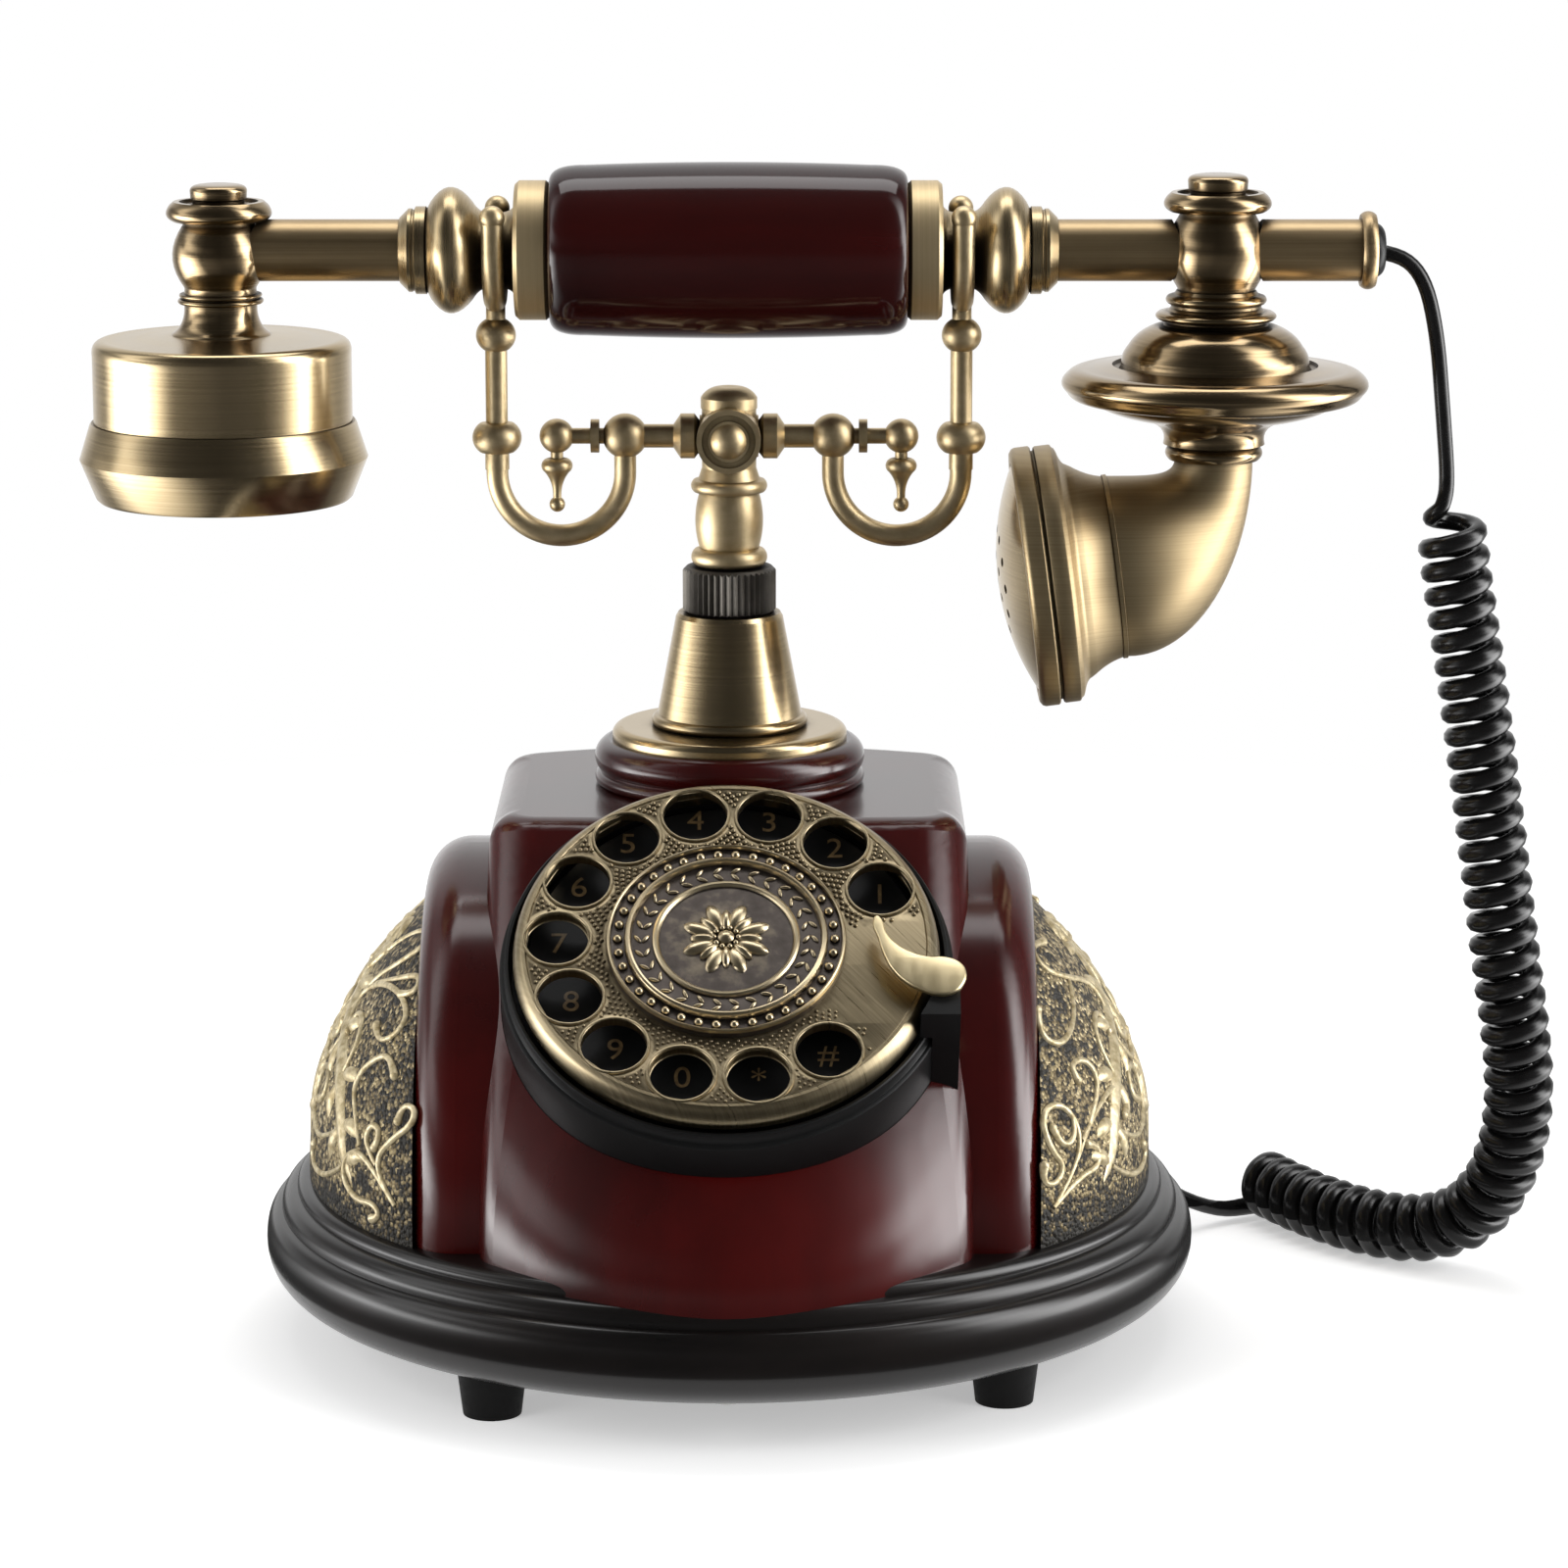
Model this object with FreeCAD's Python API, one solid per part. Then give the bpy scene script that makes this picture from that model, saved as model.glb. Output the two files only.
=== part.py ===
import FreeCAD, Part
import math
import os

V = FreeCAD.Vector
os.makedirs("parts", exist_ok=True)

# Driving dimensions, all in millimetres

base_r = 89.2              # widest radius of the black base moulding
base_low = 9.0             # underside of the base, which is the height of the feet
base_high = 31.0           # top bead of the base, where the domes stand
foot_ring = base_r - 17.2  # radius of the circle that the feet stand on
foot_spread = 41.1         # degrees of a foot either side of straight ahead
foot_turn = 4.3            # degrees that the four feet are turned as a set
foot_r_top = 6.5
foot_r_low = 5.4
plate_thick = 2.0
plate_r = base_r - 12.2
base_bore = base_r - 23.2  # open middle of the base
board_back = base_bore - 8.0  # back edge of the circuit board
screw_r = 1.5

box_half = 45.0            # half width of the central box
box_top = 103.0
panel_half = 57.5          # half width over the stepped side panels
panel_top = 94.5
box_corner = 10.0          # plan radius of the box corners
top_round = 6.0            # radius of the top edges of the box
band_round = 8.0           # radius of the outer edges of the side panels
wall = 3.0                 # wall of the moulded body
dome_r = base_r - 8.4      # radius of the domes where they are widest
dome_mid = 33.0            # height of that widest circle
dome_rise = 71.0           # height of the dome above it

post_y = 17.0              # depth of the column, cradle and handset
plinth_r = 26.0
plinth_high = 111.6
flange_r = 22.6
flange_high = 114.2
cone_r_low = 14.5
cone_r_high = 10.3
cone_high = 136.2
collar_r = 8.95
collar_high = 145.0

dial_tilt = 37.7           # degrees between the dial face and the floor
dial_y = -49.6
dial_z = 84.6
wheel_thick = 1.8
wheel_top = 3.4            # face of the wheel above the lip of its housing
hole_count = 12
hole_step = 25.714         # degrees between finger holes
hole_first = 24.0          # degrees, first hole counter-clockwise from the right
hole_r = 5.9
medal_r = 21.8
housing_r = 41.5
wheel_r = housing_r - 2.6
hole_pitch_r = wheel_r - 8.1
housing_depth = 16.0
spindle_r = 3.0

tooth_module = 0.75
gear_teeth = 48
pinion_teeth = 12

arm_z = 170.2              # height of the cradle's cross bar
arm_ball_x = 19.85
arm_end_x = 32.9
fork_x = 44.3
hook_tube_r = 2.1
plunger_r = 4.0
cradle_rise = 3.0

handset_z = 205.7          # height of the handset's axis
grip_half = 33.8
grip_r = 16.1               # beside the rounded ends; the middle is a little fuller
grip_belly = 0.55
ferrule_r = 13.2
ferrule_end = 40.4
neck_r = 7.15
neck_end = 62.2
bulb_r = 11.75
tube_r = 5.85
ear_x = -96.5
mouth_x = 92.6
ear_belt_r = 27.8
mouth_disc_r = 28.85
tail_x = 119.8
tail_end = 124.4
wire_bore = 3.0            # passage for the wires through the handset

mouth_drop = 7.3           # degrees that the horn looks below level
horn_neck_d = 14.9
horn_mouth_d = 39.5
horn_sink = 2.0            # drop of the inside of the bend below the neck
rim_r = 25.0
rim_long = 11.5

cord_d = 3.0               # thickness of the handset cord
coil_r = 5.0               # radius of the curls, to the middle of the wire
coil_pitch = 4.65
cord_bush_turn = 32.0      # degrees behind the right, where the cord enters the base

fit = 0.05                 # radial gap of a running fit
gap = 0.4                  # radial gap where pieces pass without guiding each other


# Helpers

class Outline:
    # a half section in radius and height, turned about the upright axis
    def __init__(self, r, z):
        self.start = V(r, 0, z)
        self.at = self.start
        self.edges = []

    def line(self, r, z):
        end = V(r, 0, z)
        self.edges.append(Part.LineSegment(self.at, end).toShape())
        self.at = end
        return self

    def arc(self, mid_r, mid_z, r, z):
        end = V(r, 0, z)
        self.edges.append(Part.Arc(self.at, V(mid_r, 0, mid_z), end).toShape())
        self.at = end
        return self

    def turned(self):
        if (self.at - self.start).Length > 1e-6:
            self.line(self.start.x, self.start.z)
        face = Part.Face(Part.Wire(self.edges))
        return face.revolve(V(0, 0, 0), V(0, 0, 1), 360)


def placed(shape, at, axis=V(0, 0, 1)):
    moved = shape.copy()
    turn = FreeCAD.Placement(at, FreeCAD.Rotation(V(0, 0, 1), axis))
    moved.Placement = turn.multiply(moved.Placement)
    return moved


def rod(r, low, high, at=V(0, 0, 0), axis=V(0, 0, 1)):
    return placed(Part.makeCylinder(r, high - low, V(0, 0, low)), at, axis)


def tube(r_out, r_in, low, high, at=V(0, 0, 0), axis=V(0, 0, 1)):
    return rod(r_out, low, high, at, axis).cut(rod(r_in, low - 1, high + 1, at, axis))


def block(x0, x1, y0, y1, z0, z1):
    return Part.makeBox(x1 - x0, y1 - y0, z1 - z0, V(x0, y0, z0))


def mirrored(shape):
    return shape.mirror(V(0, 0, 0), V(1, 0, 0))


def joined(shapes):
    whole = shapes[0].fuse(shapes[1:]) if len(shapes) > 1 else shapes[0]
    return whole.removeSplitter()


def swept(edges, r):
    # a round tube of radius r along edges that join tangentially
    path = Part.Wire(edges)
    first = path.OrderedEdges[0]
    begin = first.valueAt(first.FirstParameter)
    along = first.tangentAt(first.FirstParameter)
    if path.OrderedEdges[0].Orientation == "Reversed":
        begin = first.valueAt(first.LastParameter)
        along = first.tangentAt(first.LastParameter) * -1
    ring = Part.Wire(Part.Circle(begin, along, r).toShape())
    shell = Part.BRepOffsetAPI.MakePipeShell(path)
    shell.add(ring)
    shell.build()
    shell.makeSolid()
    return shell.shape()


parts = {}


def keep(name, shape):
    parts[name] = shape


# Dial frame: local z looks out of the dial's face, local y up its slope

tilt = math.radians(dial_tilt)
dial_at = V(0, dial_y, dial_z)
dial_out = V(0, -math.sin(tilt), math.cos(tilt))
dial_up = V(0, math.cos(tilt), math.sin(tilt))


def on_dial(shape):
    moved = shape.copy()
    turn = FreeCAD.Placement(dial_at, FreeCAD.Rotation(V(1, 0, 0), dial_tilt))
    moved.Placement = turn.multiply(moved.Placement)
    return moved


# Body: lofted sections of the box, and a rounded band on each side

def box_section(z, half, front_mid, front_side, back_mid, back_side, corner):
    # a plan outline with bowed front and back and rounded corners
    front = Part.Arc(V(-half, front_side, z), V(0, front_mid, z), V(half, front_side, z)).toShape()
    right = Part.LineSegment(V(half, front_side, z), V(half, back_side, z)).toShape()
    back = Part.Arc(V(half, back_side, z), V(0, back_mid, z), V(-half, back_side, z)).toShape()
    left = Part.LineSegment(V(-half, back_side, z), V(-half, front_side, z)).toShape()
    face = Part.Face(Part.Wire([front, right, back, left]))
    solid = face.extrude(V(0, 0, 1))
    upright = [e for e in solid.Edges if abs(e.tangentAt(e.FirstParameter).z) > 0.99]
    rounded = solid.makeFillet(corner, upright)
    low = [f for f in rounded.Faces if abs(f.CenterOfMass.z - z) < 1e-6][0]
    return low.OuterWire


def circle_y(r, x):
    return math.sqrt(r * r - x * x)


box_foot = 24.0            # underside of the box, sunk in the base
foot_front = base_r - 3.6   # reach of the bowed front at its foot
foot_back = base_r - 5.2
foot_side = base_r - 25.2   # depth of the bowed front at the box corners
waist_front = 74.0          # reach of the bowed front at half its height
waist_back = 74.0
shoulder_front = 47.5       # reach of the bowed front at three quarters of its height
shoulder_side = 41.5
shoulder_back = 65.0
shoulder_back_side = 53.0


def waist(foot, shoulder, share):
    # depth of a corner at half height, between the foot and the shoulder
    return shoulder + (foot - shoulder) * share


waist_side = waist(foot_side, shoulder_side, 16.5 / 22.5)
waist_back_side = waist(foot_back, shoulder_back_side, 9.0 / 31.0)


def box_body(inset):
    half = box_half - inset
    front_run = [(box_foot, -foot_front + inset, -foot_side + inset),
                 (base_high + 1.0, -foot_front + 0.3 + inset, 0.2 - foot_side + inset),
                 (box_top * 0.5, -waist_front + inset * 1.3, -waist_side + inset * 1.3),
                 (box_top * 0.75, -shoulder_front + inset * 1.4, -shoulder_side + inset * 1.4),
                 (box_top - inset, -19.5 + inset * 0.8, -18.0 + inset * 0.8)]
    back_run = [(foot_back - inset, circle_y(foot_back, box_half) - inset),
                (foot_back - 0.3 - inset, circle_y(foot_back, box_half) - 0.3 - inset),
                (waist_back - inset, waist_back_side - inset),
                (shoulder_back - inset, shoulder_back_side - inset),
                (52.0 - inset, 42.0 - inset)]
    sections = []
    for (z, mid, side), (back_mid, back_side) in zip(front_run, back_run):
        sections.append(box_section(z, half, mid, side, back_mid, back_side, box_corner - inset))
    return Part.makeLoft(sections, True, False)


def rounded_top(solid, z, r):
    edges = []
    for e in solid.Edges:
        if all(abs(v.Point.z - z) < 1e-4 for v in e.Vertexes) and abs(e.CenterOfMass.z - z) < 1e-4:
            edges.append(e)
    return solid.makeFillet(r, edges)


band_reach = 60.0          # half depth of the side panels at their foot


def side_band(inset):
    # one rounded band seen from the side as half an ellipse, spanning both sides of the box
    reach = band_reach - inset
    rise = panel_top - dome_mid - inset + 3.0
    low = dome_mid - 3.0
    ellipse = Part.Ellipse(V(0, reach, 0), V(0, 0, rise), V(0, 0, 0)) if reach > rise else \
        Part.Ellipse(V(0, 0, rise), V(0, reach, 0), V(0, 0, 0))
    half = panel_half - inset
    edge = ellipse.toShape()
    face = Part.Face(Part.Wire(edge))
    face.translate(V(-half, 0, low))
    bar = face.extrude(V(2 * half, 0, 0))
    foot = block(-half, half, -reach, reach, box_foot, low)
    upper = block(-half - 1, half + 1, -reach - 1, reach + 1, low, low + rise + 1)
    return bar.common(upper).fuse(foot).removeSplitter()


def make_body():
    box = rounded_top(box_body(0.0), box_top, top_round)
    band = side_band(0.0)
    rims = [e for e in band.Edges if abs(abs(e.CenterOfMass.x) - panel_half) < 1e-4
            and e.CenterOfMass.z > dome_mid - 2]
    band = band.makeFillet(band_round, rims)
    return box, band


box, band = make_body()
body_outer = box.fuse(band)
ring_limit = rod(foot_front + 0.4, 0, 200)
body_outer = body_outer.common(ring_limit)
body_inner = box_body(wall).fuse(side_band(wall)).common(rod(foot_front - wall, 0, 200))
body_inner = body_inner.common(block(-100, 100, -100, 100, box_foot - 1, 200))

plunger_hole = rod(plunger_r + gap, 0, 300, V(0, post_y, 0))
dial_hole = on_dial(rod(housing_r + 0.1, -housing_depth - 14, 30))
body = body_outer.cut(body_inner).cut(plunger_hole).cut(dial_hole)
keep("body_shell", max(body.Solids, key=lambda s: s.Volume))


# Base

def make_base():
    r = base_r
    shape = (Outline(base_bore, base_low)
             .line(r - 10.0, base_low)
             .arc(r - 2.4, base_low + 3.6, r, 19.0)
             .arc(r - 0.6, 22.8, r - 2.2, 24.6)
             .line(r - 3.0, 24.8)
             .arc(r - 3.6, 27.2, r - 5.4, 28.4)
             .line(r - 6.0, 28.5)
             .arc(r - 6.5, 30.3, r - 8.4, base_high)
             .line(base_bore, base_high)
             .turned())
    recess = rod(plate_r + 0.2, base_low - 1, base_low + plate_thick)
    room = 0.35
    foot_line = box_section(box_foot, box_half, -foot_front - room, -foot_side - room, foot_back + room,
                            circle_y(foot_back, box_half) + room, box_corner)
    box_seat = Part.Face(foot_line).extrude(V(0, 0, base_high + 1 - box_foot))
    band_seat = block(-panel_half, panel_half, -band_reach, band_reach, box_foot, base_high + 1)
    return shape.cut(recess).cut(box_seat).cut(band_seat)


line_jack_z = 17.0
jack_half = 6.5
jack_high = 5.5
jack_pocket = block(-jack_half, jack_half, base_bore - 2.0, 100.0, line_jack_z - jack_high, line_jack_z + jack_high)

bush_dir = V(math.cos(math.radians(cord_bush_turn)), math.sin(math.radians(cord_bush_turn)), 0)
bush_r = 3.6
bush_z = 15.0
bush_face = base_r + 1.2
bush_at = V(0, 0, bush_z)
bush_back = base_bore + 2.0
bush_pocket = rod(bush_r, base_bore - 4.0, 110.0, bush_at, bush_dir)

base = make_base().cut(jack_pocket).cut(bush_pocket)
jack = block(-jack_half, jack_half, base_bore + 2.0, base_r - 1.0, line_jack_z - jack_high, line_jack_z + jack_high)
jack = jack.cut(block(-4.8, 4.8, base_r - 11.0, base_r, line_jack_z - 3.3, line_jack_z + 3.3))
keep("line_jack", jack)

bush = tube(bush_r, cord_d / 2, bush_back, bush_face, bush_at, bush_dir)
keep("cord_bush", bush)

foot_angles = [math.radians(mid + side * foot_spread + foot_turn) for mid in (-90, 90) for side in (-1, 1)]
foot_places = [V(foot_ring * math.cos(a), foot_ring * math.sin(a), 0) for a in foot_angles]
screw_ring = (base_bore + plate_r) / 2
screw_places = [V(screw_ring * math.cos(math.radians(a)), screw_ring * math.sin(math.radians(a)), 0)
                for a in (0, 110, 180, 270)]


def make_foot():
    outer = (Outline(0, 0).line(foot_r_low, 0).line(foot_r_top, base_low).line(0, base_low).turned())
    return outer.cut(rod(3.2, -1, 4.0)).cut(rod(screw_r + 0.1, 3, base_low + 1))


def make_screw(head_low, head_r, length):
    return joined([rod(head_r, head_low, head_low + 2.0), rod(screw_r, head_low + 1.5, head_low + length)])


feet = [placed(make_foot(), p) for p in foot_places]
keep("rubber_feet", Part.makeCompound(feet))
foot_screws = [placed(make_screw(2.0, 3.0, 16.0), p) for p in foot_places]
plate_screws = [placed(make_screw(base_low - 2.0, 3.0, 10.0), p) for p in screw_places]
keep("base_screws", Part.makeCompound(foot_screws + plate_screws))

plate = rod(plate_r, base_low, base_low + plate_thick)
for p in foot_places + screw_places:
    plate = plate.cut(rod(screw_r, 0, 40, p))
    base = base.cut(rod(screw_r, 0, 18.0, p))
for x in (-22.0, 22.0):
    for y in (board_back - 15.0, board_back - 3.0):
        plate = plate.fuse(rod(2.5, base_low + plate_thick, 19.0, V(x, y, 0)))
keep("bottom_plate", plate.removeSplitter())
keep("base_moulding", max(base.Solids, key=lambda s: s.Volume))

ballast = tube(40.0, 12.0, base_low + plate_thick, base_low + plate_thick + 5.0)
keep("ballast_plate", ballast.cut(block(-60, 60, board_back - 28.0, board_back + 2.0, 0, 60)))

board = block(-26, 26, board_back - 18.0, board_back, 19.0, 20.6)
board = board.fuse(block(-18, -4, board_back - 15.0, board_back - 6.0, 20.6, 24.6))
board = board.fuse(block(4, 18, board_back - 14.0, board_back - 3.0, 20.6, 26.0))
keep("circuit_board", board.removeSplitter())

ringer = joined([rod(15.0, base_low + plate_thick + 5.0, 21.0), rod(9.0, 20.0, 27.0)])
keep("ringer", placed(ringer, V(-20.0, -8.0, 0)))


# Domes

def dome_solid(inset):
    r = dome_r - inset
    rise = dome_rise - inset
    major = Part.Ellipse(V(r, 0, 0), V(0, 0, rise), V(0, 0, 0))
    quarter = major.toShape(0, math.pi / 2)
    upper = [quarter,
             Part.LineSegment(V(0, 0, rise), V(0, 0, 0)).toShape(),
             Part.LineSegment(V(0, 0, 0), V(r, 0, 0)).toShape()]
    cap = Part.Face(Part.Wire(upper)).revolve(V(0, 0, 0), V(0, 0, 1), 360)
    cap.translate(V(0, 0, dome_mid))
    skirt = rod(r, base_high, dome_mid)
    return cap.fuse(skirt).removeSplitter()


def make_dome():
    shell = dome_solid(0.0).cut(dome_solid(wall))
    return shell.common(block(panel_half, 200, -200, 200, base_high, 200))


right_dome = make_dome()
keep("right_dome", right_dome)
keep("left_dome", mirrored(right_dome))


# Column

def at_post(shape):
    return placed(shape, V(0, post_y, 0))


bore = plunger_r + gap
groove_z = box_top + 2.6
plinth = (Outline(bore, box_top)
          .line(plinth_r - 0.8, box_top)
          .arc(plinth_r, box_top + 1.2, plinth_r - 0.9, groove_z)
          .line(plinth_r - 0.9, groove_z + 0.3)
          .arc(plinth_r, (groove_z + plinth_high) / 2, plinth_r - 2.6, plinth_high)
          .line(bore, plinth_high))
keep("top_plinth", at_post(plinth.turned()))

flange = (Outline(bore, plinth_high)
          .line(flange_r, plinth_high)
          .line(flange_r, plinth_high + 1.3)
          .arc(flange_r - 0.6, plinth_high + 2.2, flange_r - 1.8, flange_high)
          .line(bore, flange_high))
keep("column_flange", at_post(flange.turned()))

bead = 1.0
cone = (Outline(bore, flange_high)
        .line(cone_r_low, flange_high)
        .arc(cone_r_low + 0.5, flange_high + bead, cone_r_low, flange_high + 2 * bead)
        .line(cone_r_low - 0.6, flange_high + 2 * bead + 0.2)
        .line(cone_r_high, cone_high - 0.8)
        .line(cone_r_high - 0.5, cone_high)
        .line(bore, cone_high))
keep("column_cone", at_post(cone.turned()))

knurls = 44


def make_collar():
    points = []
    for i in range(2 * knurls):
        r = collar_r if i % 2 == 0 else collar_r - 0.45
        a = math.pi * i / knurls
        points.append(V(r * math.cos(a), r * math.sin(a), cone_high))
    points.append(points[0])
    star = Part.Face(Part.makePolygon(points)).extrude(V(0, 0, collar_high - cone_high))
    limit = (Outline(bore, cone_high)
             .line(collar_r - 0.7, cone_high)
             .line(collar_r + 0.2, cone_high + 0.9)
             .line(collar_r + 0.2, collar_high - 0.9)
             .line(collar_r - 0.7, collar_high)
             .line(bore, collar_high))
    return star.common(limit.turned())


keep("knurled_collar", at_post(make_collar()))


# Cradle: post, plunger, cross bar and hooks

post_low = collar_high + gap
ring_low = post_low + 3.0
ring_high = ring_low + 11.0
post_top = arm_z - 6.0
cradle_post = (Outline(0, post_low)
               .line(6.6, post_low)
               .arc(7.3, post_low + 1.5, 6.6, ring_low)
               .line(5.7, ring_low + 0.3)
               .arc(6.5, (ring_low + ring_high) / 2, 5.7, ring_high)
               .line(6.8, ring_high + 0.2)
               .arc(7.3, ring_high + 1.3, 6.8, ring_high + 2.4)
               .line(5.9, ring_high + 2.6)
               .line(5.2, post_top)
               .line(0, post_top))
post = at_post(cradle_post.turned())
keep("cradle_post", post)

plunger_low = 86.0
stop_r = 6.5
pin_r = 2.5
pin_low = 74.0
plunger = joined([rod(plunger_r, plunger_low, post_low), rod(stop_r, plunger_low, plunger_low + 2.0),
                  rod(pin_r, pin_low, plunger_low)])
keep("plunger_rod", at_post(plunger))

hub_r = 5.2
boss_ring_r = 6.1
hub_top = arm_z + 5.4
boss_face = post_y - 8.2


def make_hub():
    drum = rod(hub_r, post_top, hub_top, V(0, post_y, 0))
    cross = rod(boss_ring_r, -7.4, 8.2, V(0, post_y, arm_z), V(0, -1, 0))
    recess = tube(boss_ring_r - 1.0, 3.9, 7.4, 9.0, V(0, post_y, arm_z), V(0, -1, 0))
    pearl = Part.makeSphere(3.9, V(0, boss_face + 2.0, arm_z))
    side = rod(4.0, -5.6, 5.6, V(0, post_y, arm_z), V(1, 0, 0))
    hub = joined([drum, cross.cut(recess), pearl, side])
    return hub.cut(rod(hub_r + 0.2, hub_top, hub_top + 10, V(0, post_y, 0))).cut(post)


cap = (Outline(0, hub_top).line(hub_r + 0.2, hub_top).line(hub_r + 0.2, hub_top + 2.0)
       .arc(hub_r - 1.4, hub_top + 3.6, 0.8, hub_top + 4.0).line(0, hub_top + 4.0))
keep("hub_cap", at_post(cap.turned()))


def make_arm():
    ball_r = 4.3
    end_r = 3.3
    neck = 1.5
    ball_near = arm_ball_x - math.sqrt(ball_r ** 2 - 2.25 ** 2)
    ball_far = arm_ball_x + math.sqrt(ball_r ** 2 - neck ** 2)
    end_near = arm_end_x - math.sqrt(end_r ** 2 - neck ** 2)
    turned = (Outline(0, 5.6)
              .line(3.0, 5.6)
              .line(4.3, 6.6)
              .line(4.3, 9.2)
              .line(2.25, 10.6)
              .line(2.25, ball_near)
              .arc(ball_r, arm_ball_x, neck, ball_far)
              .line(neck, 24.8)
              .line(3.2, 24.8)
              .line(3.2, 26.4)
              .line(neck, 26.4)
              .line(neck, end_near)
              .arc(end_r, arm_end_x, 0, arm_end_x + end_r))
    return placed(turned.turned(), V(0, post_y, arm_z), V(1, 0, 0))


right_arm = make_arm()
keep("right_arm", right_arm)
keep("left_arm", mirrored(right_arm))
keep("cross_hub", make_hub().cut(right_arm).cut(mirrored(right_arm)))


def make_drop():
    top = arm_z - 3.3
    turned = (Outline(0, top + 0.6)
              .line(1.2, top + 0.6)
              .line(1.2, top - 1.0)
              .arc(2.9, top - 1.9, 2.4, top - 3.6)
              .arc(1.3, top - 5.4, 0.8, top - 8.0)
              .line(0.8, top - 8.6)
              .arc(1.5, top - 9.8, 0.4, top - 11.3)
              .line(0, top - 11.3))
    return placed(turned.turned(), V(arm_end_x, post_y, 0)).cut(right_arm)


drop = make_drop()
keep("drop_finials", Part.makeCompound([drop, mirrored(drop)]))

fork_gap = 0.35            # the neck of the handset above its fork
fork_r = neck_r + fork_gap + hook_tube_r
prong_top = handset_z + 7.0
ball_z = handset_z - 16.1


def make_hook():
    r = hook_tube_r
    saddle = [Part.LineSegment(V(fork_x, post_y - fork_r, prong_top),
                               V(fork_x, post_y - fork_r, handset_z)).toShape(),
              Part.Arc(V(fork_x, post_y - fork_r, handset_z), V(fork_x, post_y, handset_z - fork_r),
                       V(fork_x, post_y + fork_r, handset_z)).toShape(),
              Part.LineSegment(V(fork_x, post_y + fork_r, handset_z),
                               V(fork_x, post_y + fork_r, prong_top)).toShape()]
    fork = swept(saddle, r)
    tips = [Part.makeSphere(r + 0.3, V(fork_x, post_y + s * fork_r, prong_top)) for s in (-1, 1)]
    bead_z = arm_z - 0.3
    turned = (Outline(0, arm_z - 6.4)
              .line(r + 0.2, arm_z - 6.4)
              .line(r + 0.2, bead_z - 3.0)
              .line(3.2, bead_z - 2.8)
              .arc(4.7, bead_z, 3.2, bead_z + 2.8)
              .line(r, bead_z + 3.0)
              .line(r, ball_z - 3.0)
              .arc(3.8, ball_z, r - 0.25, ball_z + 3.0)
              .line(r - 0.25, handset_z - fork_r)
              .line(0, handset_z - fork_r))
    stem = placed(turned.turned(), V(fork_x, post_y, 0))
    bend_r = (fork_x - arm_ball_x) / 2
    bend_z = arm_z - 7.0
    bend = [Part.LineSegment(V(fork_x, post_y, arm_z), V(fork_x, post_y, bend_z)).toShape(),
            Part.Arc(V(fork_x, post_y, bend_z), V(fork_x - bend_r, post_y, bend_z - bend_r),
                     V(arm_ball_x, post_y, bend_z)).toShape(),
            Part.LineSegment(V(arm_ball_x, post_y, bend_z), V(arm_ball_x, post_y, arm_z - 3.0)).toShape()]
    return joined([fork, stem, swept(bend, r)] + tips).cut(right_arm)


right_hook = make_hook()
keep("right_hook", right_hook)
keep("left_hook", mirrored(right_hook))


# Spring and switch under the plunger

def biarc_edges(points, tangents):
    # two arcs between each pair of points, tangent at both ends and where they meet
    edges = []
    for p, q, t, u in zip(points, points[1:], tangents, tangents[1:]):
        v = q - p
        both = t + u
        bend = 2 * (1 - t.dot(u))
        if bend < 1e-9:
            edges.append(Part.LineSegment(p, q).toShape())
            continue
        d = (-v.dot(both) + math.sqrt(v.dot(both) ** 2 + bend * v.dot(v))) / bend
        mid = (p + t * d + q - u * d) * 0.5
        half = (q - u * d - p - t * d).normalize()
        for a, b, s in ((p, mid, t), (mid, q, half)):
            chord = b - a
            across = chord - s * chord.dot(s)
            if across.Length < 1e-7 * chord.Length:
                edges.append(Part.LineSegment(a, b).toShape())
                continue
            across.normalize()
            r = chord.dot(chord) / (2 * chord.dot(across))
            centre = a + across * r
            middle = (a + b) * 0.5 - centre
            edges.append(Part.Arc(a, centre + middle.normalize() * r, b).toShape())
    return edges


spring_low = 68.4
spring_high = plunger_low - 0.3
spring_r = 4.2
spring_wire = 0.5
spring_turns = 6


def make_spring():
    steps = 4 * spring_turns
    low = spring_low + spring_wire
    rise = spring_high - spring_wire - low
    points = []
    tangents = []
    for i in range(steps + 1):
        a = 2 * math.pi * spring_turns * i / steps
        points.append(V(spring_r * math.cos(a), spring_r * math.sin(a), low + rise * i / steps))
        slope = rise / (2 * math.pi * spring_turns)
        tangents.append(V(-spring_r * math.sin(a), spring_r * math.cos(a), slope).normalize())
    return at_post(swept(biarc_edges(points, tangents), spring_wire))


keep("cradle_spring", make_spring())

switch_half = 10.0
shelf_low = 65.0
shelf_high = spring_low - 0.05
shelf = block(-switch_half, switch_half, post_y - switch_half, post_y + switch_half, shelf_low, shelf_high)
shelf = shelf.cut(rod(pin_r + gap, 0, 200, V(0, post_y, 0)))
hangers = [block(s * switch_half - 1.5, s * switch_half + 1.5, post_y - switch_half, post_y + switch_half,
                 shelf_low, box_top - wall) for s in (-1, 1)]
sensor = block(-5, 5, post_y + stop_r + 1.0, post_y + switch_half, shelf_high - 1, plunger_low + 6.0)
keep("hook_switch", joined([shelf] + hangers + [sensor]))


# Dial

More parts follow.
